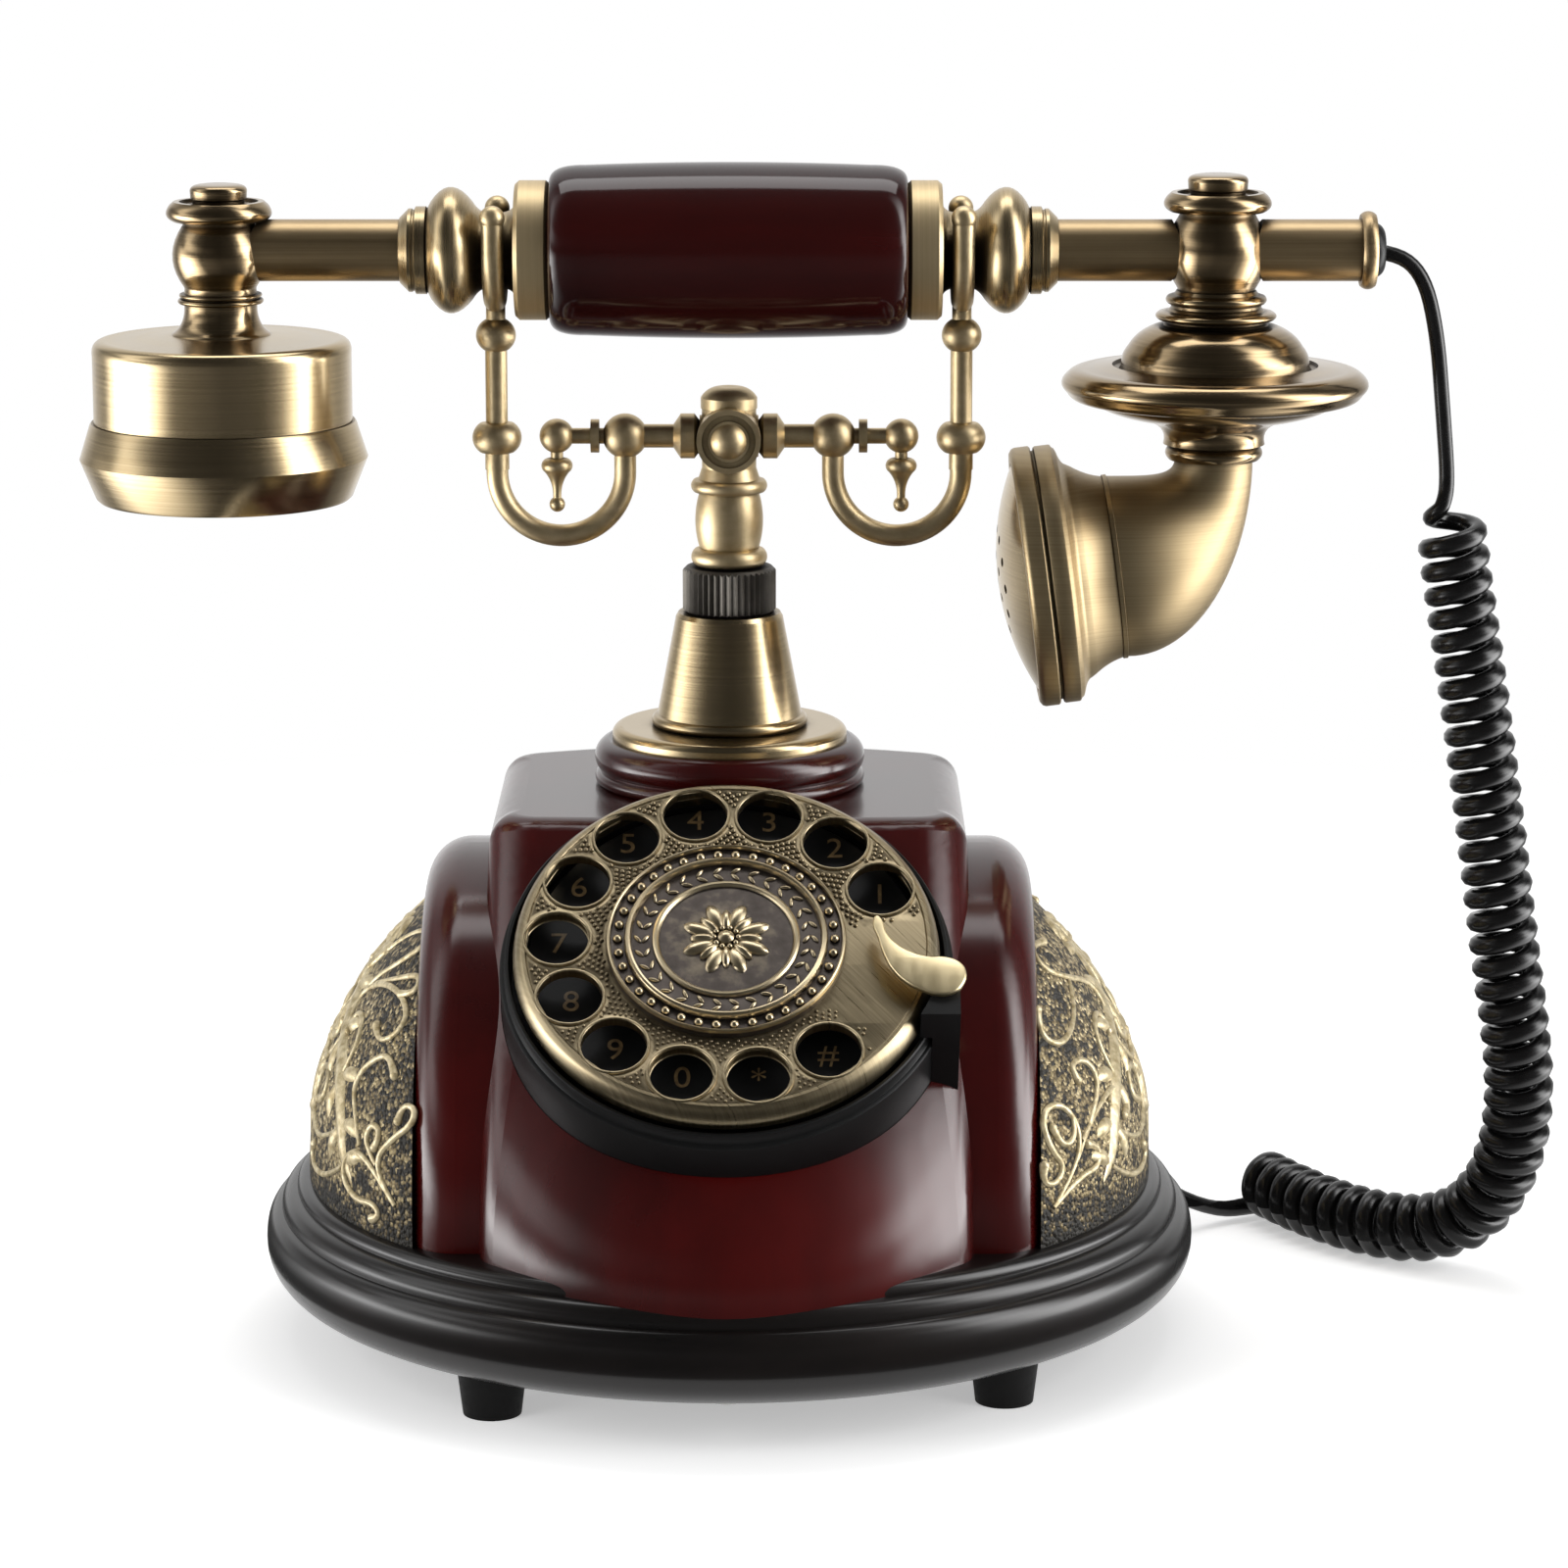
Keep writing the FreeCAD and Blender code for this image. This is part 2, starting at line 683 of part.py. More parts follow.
def make_wheel():
    low = wheel_top - wheel_thick
    turned = (Outline(0, low)
              .line(wheel_r - 3.4, low)
              .line(wheel_r - 1.8, low - 1.6)
              .line(wheel_r - 1.8, -1.6)
              .line(wheel_r - 0.3, -1.6)
              .arc(wheel_r, 0.0, wheel_r - 0.3, 1.2)
              .arc(wheel_r - 1.0, 2.7, wheel_r - 2.4, wheel_top)
              .line(0, wheel_top))
    wheel = turned.turned()
    for i in range(hole_count):
        a = math.radians(hole_first + hole_step * i)
        at = V(hole_pitch_r * math.cos(a), hole_pitch_r * math.sin(a), 0)
        wheel = wheel.cut(rod(hole_r, -10, 10, at))
    return wheel


keep("finger_wheel", on_dial(make_wheel()))

medal_high = wheel_top + 2.2
medal_ground = wheel_top + 1.4
medal = (Outline(0, wheel_top)
         .line(medal_r, wheel_top)
         .arc(medal_r - 0.3, wheel_top + 1.6, medal_r - 1.4, medal_high)
         .line(medal_r - 3.8, medal_high)
         .line(medal_r - 4.4, medal_ground)
         .line(13.2, medal_ground)
         .arc(12.7, medal_ground + 0.7, 12.2, medal_ground)
         .line(0, medal_ground))
keep("dial_medallion", on_dial(medal.turned()))

floor_top = -housing_depth + 2.0
frame_back = -31.0
frame_thick = 1.6
gear_low = -22.0
gear_high = -19.0
spindle_high = wheel_top - wheel_thick
spindle = joined([rod(spindle_r, frame_back - 1.0, spindle_high), rod(5.5, -4.6, spindle_high)])
keep("dial_spindle", on_dial(spindle))

number_low = -8.0
number_plate = tube(housing_r - 2.0, spindle_r + gap, number_low - 1.2, number_low)
keep("number_plate", on_dial(number_plate))

housing = (Outline(spindle_r + gap, -housing_depth)
           .line(housing_r, -housing_depth)
           .line(housing_r, -1.6)
           .arc(housing_r - 0.2, -1.0, housing_r - 0.8, -0.8)
           .line(housing_r - 1.4, -0.8)
           .line(housing_r - 2.0, -1.6)
           .line(housing_r - 2.0, number_low - 1.2)
           .line(housing_r - 5.0, number_low - 1.2)
           .line(housing_r - 5.0, floor_top)
           .line(spindle_r + gap, floor_top))


def gear_face(teeth, tip, root, share_tip, share_root, turn):
    points = []
    step = 2 * math.pi / teeth
    for i in range(teeth):
        mid = turn + i * step
        for r, a in ((root, -share_root), (tip, -share_tip), (tip, share_tip), (root, share_root)):
            points.append(V(r * math.cos(mid + a * step), r * math.sin(mid + a * step), 0))
    points.append(points[0])
    return Part.Face(Part.makePolygon(points))


def make_gear(teeth, turn, low, high):
    pitch_r = tooth_module * teeth / 2
    face = gear_face(teeth, pitch_r + 0.75 * tooth_module, pitch_r - 1.1 * tooth_module, 0.09, 0.24, turn)
    gear = face.extrude(V(0, 0, high - low))
    gear.translate(V(0, 0, low))
    return gear


gear_gap = tooth_module * (gear_teeth + pinion_teeth) / 2
pinion_at = V(-gear_gap, 0, 0)
dial_gear = make_gear(gear_teeth, 0, gear_low, gear_high).cut(rod(spindle_r, -60, 60))
keep("dial_gear", on_dial(dial_gear))

pinion_shaft_r = 1.5
pinion_turn = math.pi / pinion_teeth
drum_r = 7.0
pinion = joined([make_gear(pinion_teeth, pinion_turn, gear_low - 0.5, gear_high + 0.5),
                 rod(pinion_shaft_r, frame_back - 1.0, floor_top - 2.0 - 0.5),
                 rod(drum_r, frame_back + frame_thick + 0.6, gear_low - 1.5)])
pinion.translate(pinion_at)
keep("governor_pinion", on_dial(pinion))

pillars = [V(16.0, 16.0, 0), V(16.0, -16.0, 0), V(-32.0, 13.0, 0), V(-32.0, -13.0, 0)]
frame = block(-36, 20, -20, 20, frame_back, frame_back + frame_thick)
for p in pillars:
    frame = frame.fuse(rod(2.2, frame_back, -housing_depth, p))
frame = frame.cut(rod(spindle_r + fit, -60, 0)).cut(rod(pinion_shaft_r + fit, -60, 0, pinion_at))
keep("dial_frame", on_dial(frame.removeSplitter()))

post_x1 = housing_r + 0.7
post_x0 = post_x1 - 7.2
post_v0 = -18.5
post_v1 = -9.0
blade_low = medal_high + 0.6
blade_thick = 1.2


def make_stop_post():
    post = block(post_x0, post_x1, post_v0, post_v1, -24.0, blade_low)
    return post.cut(rod(wheel_r + 0.7, -60, 60)).cut(rod(housing_r + 0.05, -60, -0.8))


keep("finger_stop_post", on_dial(make_stop_post()).cut(body_outer))
keep("dial_housing", on_dial(housing.turned()))


def make_blade():
    # a thin hooked blade from its round end on the post to a tip over the wheel
    x = post_x1
    tip = V(x - 16.3, 0.4, 0)
    nose = V(x - 13.6, 0.4, 0)
    bend = V(x - 8.1, -8.1, 0)
    shoulder = V(x - 2.8, -8.5, 0)
    foot = V(x - 3.6, -16.3, 0)
    heel = V(x - 10.6, -16.0, 0)
    outline = [Part.Arc(tip, V(x - 14.9, 1.7, 0), nose).toShape(),
               Part.Arc(nose, V(x - 12.3, -5.4, 0), bend).toShape(),
               Part.LineSegment(bend, shoulder).toShape(),
               Part.Arc(shoulder, V(x - 0.2, -12.2, 0), foot).toShape(),
               Part.Arc(foot, V(x - 7.2, -17.1, 0), heel).toShape(),
               Part.Arc(heel, V(x - 15.0, -9.4, 0), tip).toShape()]
    blade = Part.Face(Part.Wire(outline)).extrude(V(0, 0, blade_thick))
    blade.translate(V(0, 0, blade_low))
    return blade


keep("finger_stop", on_dial(make_blade()))


# Handset

def on_axis(shape, x=0.0, flip=False):
    return placed(shape, V(x, post_y, handset_z), V(-1 if flip else 1, 0, 0))


g = grip_half
grip = (Outline(wire_bore, -g)
        .line(ferrule_r + 0.2, -g)
        .arc(grip_r - 1.0, -g + 1.8, grip_r, -g + 6.6)
        .arc(grip_r + grip_belly, 0, grip_r, g - 6.6)
        .arc(grip_r - 1.0, g - 1.8, ferrule_r + 0.2, g)
        .line(wire_bore, g))
keep("grip", on_axis(grip.turned()))

ferrule = (Outline(wire_bore, g)
           .line(ferrule_r - 0.7, g)
           .line(ferrule_r, g + 0.8)
           .line(ferrule_r, ferrule_end - 0.8)
           .line(ferrule_r - 0.7, ferrule_end)
           .line(wire_bore, ferrule_end)).turned()
right_ferrule = on_axis(ferrule)
keep("ferrules", Part.makeCompound([right_ferrule, mirrored(right_ferrule)]))

fork_side = fork_x + hook_tube_r
bulb_from = fork_side + 1.2
bulb_to = bulb_from + 8.6
neck = (Outline(wire_bore, ferrule_end)
        .line(9.6, ferrule_end)
        .arc(neck_r + 0.5, ferrule_end + 1.0, neck_r, ferrule_end + 2.0)
        .line(neck_r, fork_side + 0.5)
        .line(neck_r + 0.7, bulb_from)
        .arc(bulb_r, (bulb_from + bulb_to) / 2, neck_r + 0.2, bulb_to)
        .line(neck_r + 0.5, bulb_to + 0.4)
        .line(neck_r + 0.5, neck_end - 2.0)
        .line(tube_r + 0.6, neck_end - 1.8)
        .line(tube_r + 1.2, neck_end)
        .line(wire_bore, neck_end)).turned()
right_neck = on_axis(neck)
keep("turned_necks", Part.makeCompound([right_neck, mirrored(right_neck)]))


def upright(outline, x):
    return placed(outline.turned(), V(x, post_y, handset_z))


ear_joint = (Outline(0, -16.0)
             .line(9.2, -16.0)
             .arc(7.4, -13.0, 7.3, -9.4)
             .line(8.2, -9.2)
             .line(8.2, -7.4)
             .line(7.5, -7.2)
             .arc(8.1, -0.8, 7.5, 5.6)
             .line(8.8, 5.7)
             .arc(9.8, 7.5, 8.8, 9.3)
             .line(0, 9.3))
ear_joint_solid = upright(ear_joint, ear_x)
wire_way = rod(wire_bore, ear_x, 0, V(0, post_y, handset_z), V(1, 0, 0))
wire_drop = rod(wire_bore, -20, 0, V(ear_x, post_y, handset_z))
keep("ear_joint", ear_joint_solid.cut(wire_way).cut(wire_drop))

left_tube = tube(tube_r, wire_bore, ear_x, -neck_end, V(0, post_y, handset_z), V(1, 0, 0)).cut(ear_joint_solid)
keep("left_tube", max(left_tube.Solids, key=lambda s: s.Volume))

mouth_joint = (Outline(0, -8.4)
               .line(8.4, -8.4)
               .arc(9.1, -0.5, 8.4, 7.3)
               .line(8.9, 7.4)
               .arc(9.8, 9.2, 8.9, 11.0)
               .line(0, 11.0))
mouth_joint_solid = upright(mouth_joint, mouth_x)
wire_way = rod(wire_bore, 0, 200, V(0, post_y, handset_z), V(1, 0, 0))
wire_drop = rod(wire_bore, -60, 0, V(mouth_x, post_y, handset_z))
keep("mouth_joint", mouth_joint_solid.cut(wire_way).cut(wire_drop))

right_run = tube(tube_r, wire_bore, neck_end, tail_x, V(0, post_y, handset_z), V(1, 0, 0))
right_run = right_run.cut(mouth_joint_solid)
keep("right_tube", Part.makeCompound(right_run.Solids))


def make_cap(low, r, high):
    return (Outline(0, low).line(r, low).line(r, high - 1.2).arc(r - 0.5, high - 0.4, r - 1.6, high)
            .line(0, high))


caps = [upright(make_cap(9.3, 5.3, 12.5), ear_x), upright(make_cap(11.0, 5.6, 14.4), mouth_x)]
keep("joint_caps", Part.makeCompound(caps))

ear_top = -16.0
ear_step = -32.6
ear_low = -47.6
shell_r = 24.6
ear_wall = 2.2
ear_shell = (Outline(wire_bore, ear_top)
             .line(shell_r - 3.0, ear_top)
             .arc(shell_r - 0.8, ear_top - 0.8, shell_r, ear_top - 3.0)
             .line(shell_r, ear_step)
             .line(shell_r - ear_wall, ear_step)
             .line(shell_r - ear_wall, ear_top - ear_wall)
             .line(wire_bore, ear_top - ear_wall))
keep("ear_shell", upright(ear_shell, ear_x))

ear_cover = (Outline(0, ear_low + 3.0)
             .line(8.0, ear_low + 2.4)
             .arc(18.0, ear_low + 1.2, ear_belt_r - 3.6, ear_low)
             .arc(ear_belt_r - 2.4, ear_low + 0.4, ear_belt_r - 2.0, ear_low + 1.6)
             .line(ear_belt_r, ear_step - 6.6)
             .arc(ear_belt_r - 0.2, ear_step - 4.6, ear_belt_r - 1.0, ear_step - 3.6)
             .line(shell_r + 1.3, ear_step)
             .line(shell_r - ear_wall - 1.0, ear_step)
             .line(shell_r - ear_wall - 1.0, ear_low + 5.2)
             .line(0, ear_low + 5.2))
cover = ear_cover.turned()
for ring_r, count in ((0.0, 1), (4.5, 6), (9.0, 12)):
    for i in range(count):
        a = 2 * math.pi * i / count
        cover = cover.cut(rod(0.9, -80, 0, V(ring_r * math.cos(a), ring_r * math.sin(a), 0)))
keep("ear_cover", placed(cover, V(ear_x, post_y, handset_z)))

receiver = (Outline(0, ear_low + 5.2).line(19.0, ear_low + 5.2).line(19.0, ear_low + 10.0)
            .line(11.0, ear_low + 14.0).line(0, ear_low + 14.0))
keep("receiver_capsule", upright(receiver, ear_x))

bell_low = -39.9
disc_z = -24.4
d = mouth_disc_r
bell = (Outline(wire_bore, bell_low)
        .line(8.6, bell_low)
        .arc(9.2, bell_low + 1.3, 8.6, bell_low + 2.6)
        .line(9.6, bell_low + 2.8)
        .arc(10.6, bell_low + 6.0, 17.0, disc_z - 7.4)
        .arc(22.0, disc_z - 6.0, 23.0, disc_z - 3.4)
        .line(d - 1.4, disc_z - 2.3)
        .arc(d, disc_z - 0.2, d - 1.6, disc_z + 2.0)
        .line(19.4, disc_z + 2.6)
        .line(19.0, disc_z + 1.9)
        .line(17.6, disc_z + 2.2)
        .arc(16.0, -17.6, 11.0, -14.9)
        .line(11.3, -13.4)
        .line(11.0, -11.2)
        .line(9.9, -10.9)
        .line(9.9, -8.9)
        .line(9.2, -8.4)
        .line(wire_bore, -8.4))
keep("mouth_bell", upright(bell, mouth_x))


def horn_sections(thin):
    # circles whose planes turn from level at the neck to the mouth's own slope
    count = 9
    inner_from = V(mouth_x - horn_neck_d / 2, post_y, handset_z + bell_low)
    inner_to = V(65.5, post_y, handset_z + bell_low)
    full = 90.0 - mouth_drop
    wires = []
    for i in range(count):
        s = i / (count - 1)
        a = math.radians(full * s)
        sink = horn_sink * (1 - (1 - s) ** 3)
        inner = inner_from + (inner_to - inner_from) * s ** 2 - V(0, 0, sink)
        across = V(math.cos(a), 0, -math.sin(a))
        wide = horn_neck_d + (horn_mouth_d - horn_neck_d) * s ** 1.4
        normal = V(-math.sin(a), 0, -math.cos(a))
        circle = Part.Circle(inner + across * (wide / 2), normal, wide / 2 - thin)
        circle.XAxis = V(0, 1, 0)
        wires.append(Part.Wire(circle.toShape()))
    return wires, inner + across * (wide / 2), normal


horn_wires, mouth_at, mouth_dir = horn_sections(0.0)
inner_wires, _, _ = horn_sections(2.0)
horn = Part.makeLoft(horn_wires, True, False).cut(Part.makeLoft(inner_wires, True, False))
keep("horn_elbow", horn)

m = horn_mouth_d / 2
rim = (Outline(m - 2.0, 0)
       .line(m + 0.4, 0)
       .arc(m + 1.4, 1.8, rim_r - 1.0, 2.6)
       .arc(rim_r - 0.2, 5.0, rim_r - 1.0, 6.6)
       .line(rim_r - 1.4, 6.9)
       .line(rim_r - 1.4, 7.3)
       .line(rim_r - 0.4, 7.5)
       .arc(rim_r, 9.4, rim_r - 1.0, rim_long)
       .line(rim_r - 2.6, rim_long)
       .line(rim_r - 2.6, rim_long - 2.0)
       .line(m - 2.0, rim_long - 2.0))
keep("horn_rim", placed(rim.turned(), mouth_at, mouth_dir))

grille_r = rim_r - 2.8
grille_low = rim_long - 2.0
grille_rise = 7.0
grille = (Outline(0, grille_low + grille_rise - 1.4)
          .arc(grille_r * 0.54, grille_low + (grille_rise - 1.4) * 0.78, grille_r - 1.6, grille_low)
          .line(grille_r, grille_low)
          .line(grille_r, grille_low + 1.6)
          .arc(grille_r * 0.55, grille_low + 1.6 + (grille_rise - 1.6) * 0.72, 0, grille_low + grille_rise))
grille_solid = grille.turned()
for ring_r, count in ((0.0, 1), (5.0, 6), (10.0, 12)):
    for i in range(count):
        a = 2 * math.pi * i / count
        grille_solid = grille_solid.cut(rod(0.9, -5, 40, V(ring_r * math.cos(a), ring_r * math.sin(a), 0)))
keep("mouth_grille", placed(grille_solid, mouth_at, mouth_dir))

capsule = (Outline(0, 1.0).line(m - 2.0, 1.0).line(m - 2.0, 6.0).line(9.0, 8.0).line(0, 8.0))
keep("microphone_capsule", placed(capsule.turned(), mouth_at, mouth_dir))

collar = (Outline(cord_d / 2 + 0.2, tail_x)
          .line(6.8, tail_x)
          .arc(7.4, tail_x + 1.4, 6.8, tail_x + 2.8)
          .line(cord_d / 2 + 0.2, tail_x + 2.8))
keep("tail_collar", on_axis(collar.turned()))
bush = (Outline(cord_d / 2, tail_x - 4.0)
        .line(wire_bore, tail_x - 4.0)
        .line(wire_bore, tail_x)
        .line(cord_d / 2 + 0.2, tail_x)
        .line(cord_d / 2 + 0.2, tail_x + 2.8)
        .line(5.2, tail_x + 2.8)
        .arc(4.6, tail_end - 0.7, 3.2, tail_end)
        .line(cord_d / 2 + 0.5, tail_end)
        .line(cord_d / 2, tail_x - 1.0))
keep("handset_bush", on_axis(bush.turned()))


# Cord: a plain lead from the handset, the curls, and a plain lead to the base

def lead_edges(points):
    # straight runs joined by tangent arcs
    edges = []
    at = points[0]
    for a, b, c in zip(points, points[1:], points[2:]):
        back = (a - b).normalize()
        on = (c - b).normalize()
        half = math.acos(max(-1.0, min(1.0, -back.dot(on)))) / 2
        run = 0.45 * min((a - b).Length, (c - b).Length)
        r = run / math.tan(half)
        begin = b + back * run
        end = b + on * run
        inward = (back + on).normalize()
        centre = b + inward * (r / math.cos(half))
        edges.append(Part.LineSegment(at, begin).toShape())
        edges.append(Part.Arc(begin, centre - inward * r, end).toShape())
        print("  bend radius %.1f mm" % r)
        at = end
    edges.append(Part.LineSegment(at, points[-1]).toShape())
    return edges


def make_lead(name, points):
    print(name)
    edges = lead_edges(points)
    solid = swept(edges, cord_d / 2)
    length = sum(e.Length for e in edges)
    ratio = solid.Volume / (math.pi * cord_d ** 2 / 4 * length)
    print("  length %.1f mm, volume over section times length %.4f" % (length, ratio))
    keep(name, solid)


coil_axis_points = [V(137.8, post_y, 158.0), V(138.8, post_y, 148.4), V(140.7, post_y, 136.9),
                    V(143.3, post_y, 121.6), V(147.1, post_y, 96.4), V(151.2, post_y, 67.2),
                    V(153.6, 18, 53.0), V(154.8, 19.2, 42.0), V(154.4, 21.2, 31.0), V(151.6, 24.0, 20.8),
                    V(146.0, 28.0, 12.6), V(138.0, 33.0, 8.4), V(129.4, 39.6, 7.2), V(121.6, 48.0, 7.2),
                    V(114.8, 58.0, 7.4), V(109.0, 68.0, 7.6)]

axis_curve = Part.BSplineCurve()
axis_curve.interpolate(coil_axis_points)
axis_edge = axis_curve.toShape()
axis_long = axis_edge.Length
swirl = 19.0               # length over which the wire winds out from the axis to the curls


def axis_frames(count):
    # frames that follow the axis without twisting
    frames = []
    near = V(0, 1, 0)
    for i in range(count + 1):
        p = axis_edge.getParameterByLength(axis_long * i / count)
        on = axis_edge.tangentAt(p)
        near = (near - on * near.dot(on)).normalize()
        frames.append((axis_edge.valueAt(p), on, near, on.cross(near)))
    return frames


def wound(s):
    # turns made up to a length s of the axis, easing in from none
    if s < swirl:
        f = s / swirl
        return swirl / coil_pitch * (f ** 3 - f ** 4 / 2)
    return (s - swirl / 2) / coil_pitch


def coil_point(frames, s, phase):
    count = len(frames) - 1
    f = max(0.0, min(1.0, s / axis_long)) * count
    i = min(count - 1, int(f))
    w = f - i
    at = frames[i][0] * (1 - w) + frames[i + 1][0] * w
    near = frames[i][2] * (1 - w) + frames[i + 1][2] * w
    far = frames[i][3] * (1 - w) + frames[i + 1][3] * w
    grow = min(1.0, s / (0.7 * swirl))
    r = coil_r * grow * grow * (3 - 2 * grow)
    return at + near * (r * math.cos(phase)) + far * (r * math.sin(phase))


def make_coil():
    frames = axis_frames(1200)
    # the last curl ends lowest, where the wire runs off level to the base
    low = V(0, 0, -1)
    end_phase = math.atan2(low.dot(frames[-1][3]), low.dot(frames[-1][2]))
    turns = wound(axis_long)

    def spot(s):
        return coil_point(frames, s, end_phase - 2 * math.pi * (turns - wound(s)))

    stops = [0.0, swirl * 0.25, swirl * 0.45]
    quarter = math.ceil(4 * wound(stops[-1]) + 0.5) / 4
    reach = int((turns - quarter) * 4)
    s = stops[-1]
    for i in range(reach, -1, -1):
        while wound(s) < turns - i / 4:
            s += 0.002
        stops.append(min(s, axis_long))
    points = []
    tangents = []
    for s in stops:
        a = max(0.0, s - 0.01)
        b = min(axis_long, s + 0.01)
        points.append(spot(s))
        tangents.append((spot(b) - spot(a)).normalize())
    tangents[0] = frames[0][1]
    level = V(tangents[-1].x, tangents[-1].y, 0).normalize()
    tangents[-1] = level
    head = points[0] - tangents[0] * cord_d
    tail = points[-1] + tangents[-1] * cord_d
    edges = [Part.LineSegment(head, points[0]).toShape()]
    edges += biarc_edges(points, tangents)
    edges.append(Part.LineSegment(points[-1], tail).toShape())
    tight = min(e.Curve.Radius for e in edges if hasattr(e.Curve, "Radius"))
    dense = []
    travelled = 0.0
    for e in edges:
        n = max(2, int(e.Length / 0.5))
        for p in e.discretize(n)[:-1]:
            dense.append((p, travelled))
            travelled += e.Length / (n - 1)
    least = 1e9
    cells = {}
    for p, s in dense:
        key = (int(p.x // 6), int(p.y // 6), int(p.z // 6))
        cells.setdefault(key, []).append((p, s))
    for p, s in dense:
        cx, cy, cz = int(p.x // 6), int(p.y // 6), int(p.z // 6)
        for dx in (-1, 0, 1):
            for dy in (-1, 0, 1):
                for dz in (-1, 0, 1):
                    for q, t in cells.get((cx + dx, cy + dy, cz + dz), ()):
                        if abs(t - s) > 2.5 * cord_d:
                            least = min(least, (p - q).Length)
    lowest = min(p.z for p, s in dense) - cord_d / 2
    print("curly cord: %.1f turns, wire %.0f mm, least gap %.2f mm, tightest bend %.2f mm, lowest %.2f mm"
          % (turns, travelled, least - cord_d, tight, lowest))
    return swept(edges, cord_d / 2), head, tangents[0], tail, level


coil, coil_head, coil_in, coil_tail, coil_out = make_coil()
keep("curly_cord", coil)

lead_points = [V(tail_x - 1.4, post_y, handset_z), V(125.8, post_y, handset_z), V(131.8, post_y, 201.4),
               V(134.7, post_y, 190.2), coil_head - coil_in * 14.0, coil_head]
make_lead("handset_lead", lead_points)

bush_mouth = bush_dir * (bush_face + 5.0) + bush_at
lead_end = bush_dir * (bush_face - 12.0) + bush_at
rise_from = coil_tail + coil_out * 13.0
make_lead("base_lead", [coil_tail, rise_from, bush_mouth, lead_end])

for name, shape in parts.items():
    solids = shape.Solids
    good = all(s.isValid() and s.isClosed() and s.Volume > 0 for s in solids)
    box_size = shape.optimalBoundingBox(False)
    print("%-20s solids %d valid %s volume %.1f x %.1f..%.1f y %.1f..%.1f z %.1f..%.1f"
          % (name, len(solids), good, shape.Volume, box_size.XMin, box_size.XMax,
             box_size.YMin, box_size.YMax, box_size.ZMin, box_size.ZMax))
    out = solids[0] if len(solids) == 1 else Part.makeCompound(solids)
    out.exportStep("parts/%s.step" % name)
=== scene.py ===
import bpy
import bmesh
import math
from mathutils import Matrix, Vector, geometry


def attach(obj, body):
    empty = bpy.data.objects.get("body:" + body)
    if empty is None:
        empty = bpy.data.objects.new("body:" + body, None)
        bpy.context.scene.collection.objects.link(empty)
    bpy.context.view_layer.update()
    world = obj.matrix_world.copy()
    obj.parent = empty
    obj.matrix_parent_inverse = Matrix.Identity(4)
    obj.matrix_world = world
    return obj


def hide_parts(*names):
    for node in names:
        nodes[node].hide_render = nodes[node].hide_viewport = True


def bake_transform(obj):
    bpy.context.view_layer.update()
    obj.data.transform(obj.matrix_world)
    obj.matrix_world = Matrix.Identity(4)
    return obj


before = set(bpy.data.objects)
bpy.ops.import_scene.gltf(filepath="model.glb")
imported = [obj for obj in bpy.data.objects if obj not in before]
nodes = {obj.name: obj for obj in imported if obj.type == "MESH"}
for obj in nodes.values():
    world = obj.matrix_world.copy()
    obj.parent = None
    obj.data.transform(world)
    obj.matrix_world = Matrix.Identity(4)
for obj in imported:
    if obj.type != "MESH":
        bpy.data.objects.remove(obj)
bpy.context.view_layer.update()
scene = bpy.context.scene
mm = 0.001
print("frame loaded,", len(nodes), "nodes")


# shader sockets as values

class Wire:
    tree = None  # the node tree being filled

    def __init__(self, socket):
        self.socket = socket

    @staticmethod
    def plug(socket, value):
        if isinstance(value, Wire):
            Wire.tree.links.new(value.socket, socket)
        elif hasattr(socket.default_value, "__len__") and not hasattr(value, "__len__"):
            socket.default_value = [value] * len(socket.default_value)
        elif hasattr(value, "__len__") and len(socket.default_value) == 4 and len(value) == 3:
            socket.default_value = tuple(value) + (1.0,)
        else:
            socket.default_value = value

    @staticmethod
    def node(kind, settings=None, sockets=None, out=0):
        made = Wire.tree.nodes.new(kind)
        for key, value in (settings or {}).items():
            if key == "stops":
                ramp = made.color_ramp.elements
                while len(ramp) < len(value):
                    ramp.new(1.0)
                for stop, (place, tone) in zip(ramp, value):
                    stop.position = place
                    stop.color = tuple(tone) + (1.0,)
            else:
                setattr(made, key, value)
        for key, value in (sockets or {}).items():
            Wire.plug(made.inputs[key], value)
        return Wire(made.outputs[out])

    def math(self, operation, other=0.0, flip=False):
        pair = (other, self) if flip else (self, other)
        return Wire.node("ShaderNodeMath", {"operation": operation}, {0: pair[0], 1: pair[1]})

    def __add__(self, other):
        return self.math("ADD", other)

    def __sub__(self, other):
        return self.math("SUBTRACT", other)

    def __rsub__(self, other):
        return self.math("SUBTRACT", other, True)

    def __mul__(self, other):
        return self.math("MULTIPLY", other)

    def __truediv__(self, other):
        return self.math("DIVIDE", other)

    def span(self, low, high, start=0.0, end=1.0):
        limits = {"Value": self, 1: low, 2: high, 3: start, 4: end}
        return Wire.node("ShaderNodeMapRange", {"clamp": True}, limits)


def tint(amount, first, second):
    return Wire.node("ShaderNodeMix", {"data_type": "RGBA"}, {0: amount, 6: first, 7: second}, 2)


def objectSpace(scale=None, place=(0, 0, 0), turn=(0, 0, 0)):
    spot = Wire.node("ShaderNodeTexCoord", out="Object")
    moved = {"Vector": spot, "Location": place, "Rotation": turn}
    spot = Wire.node("ShaderNodeMapping", {"vector_type": "TEXTURE"}, moved)
    if scale:
        spot = Wire.node("ShaderNodeVectorMath", {"operation": "MULTIPLY"}, {0: spot, 1: scale})
    return spot


def axes(spot, wanted):
    return [Wire.node("ShaderNodeSeparateXYZ", None, {0: spot}, axis) for axis in wanted]


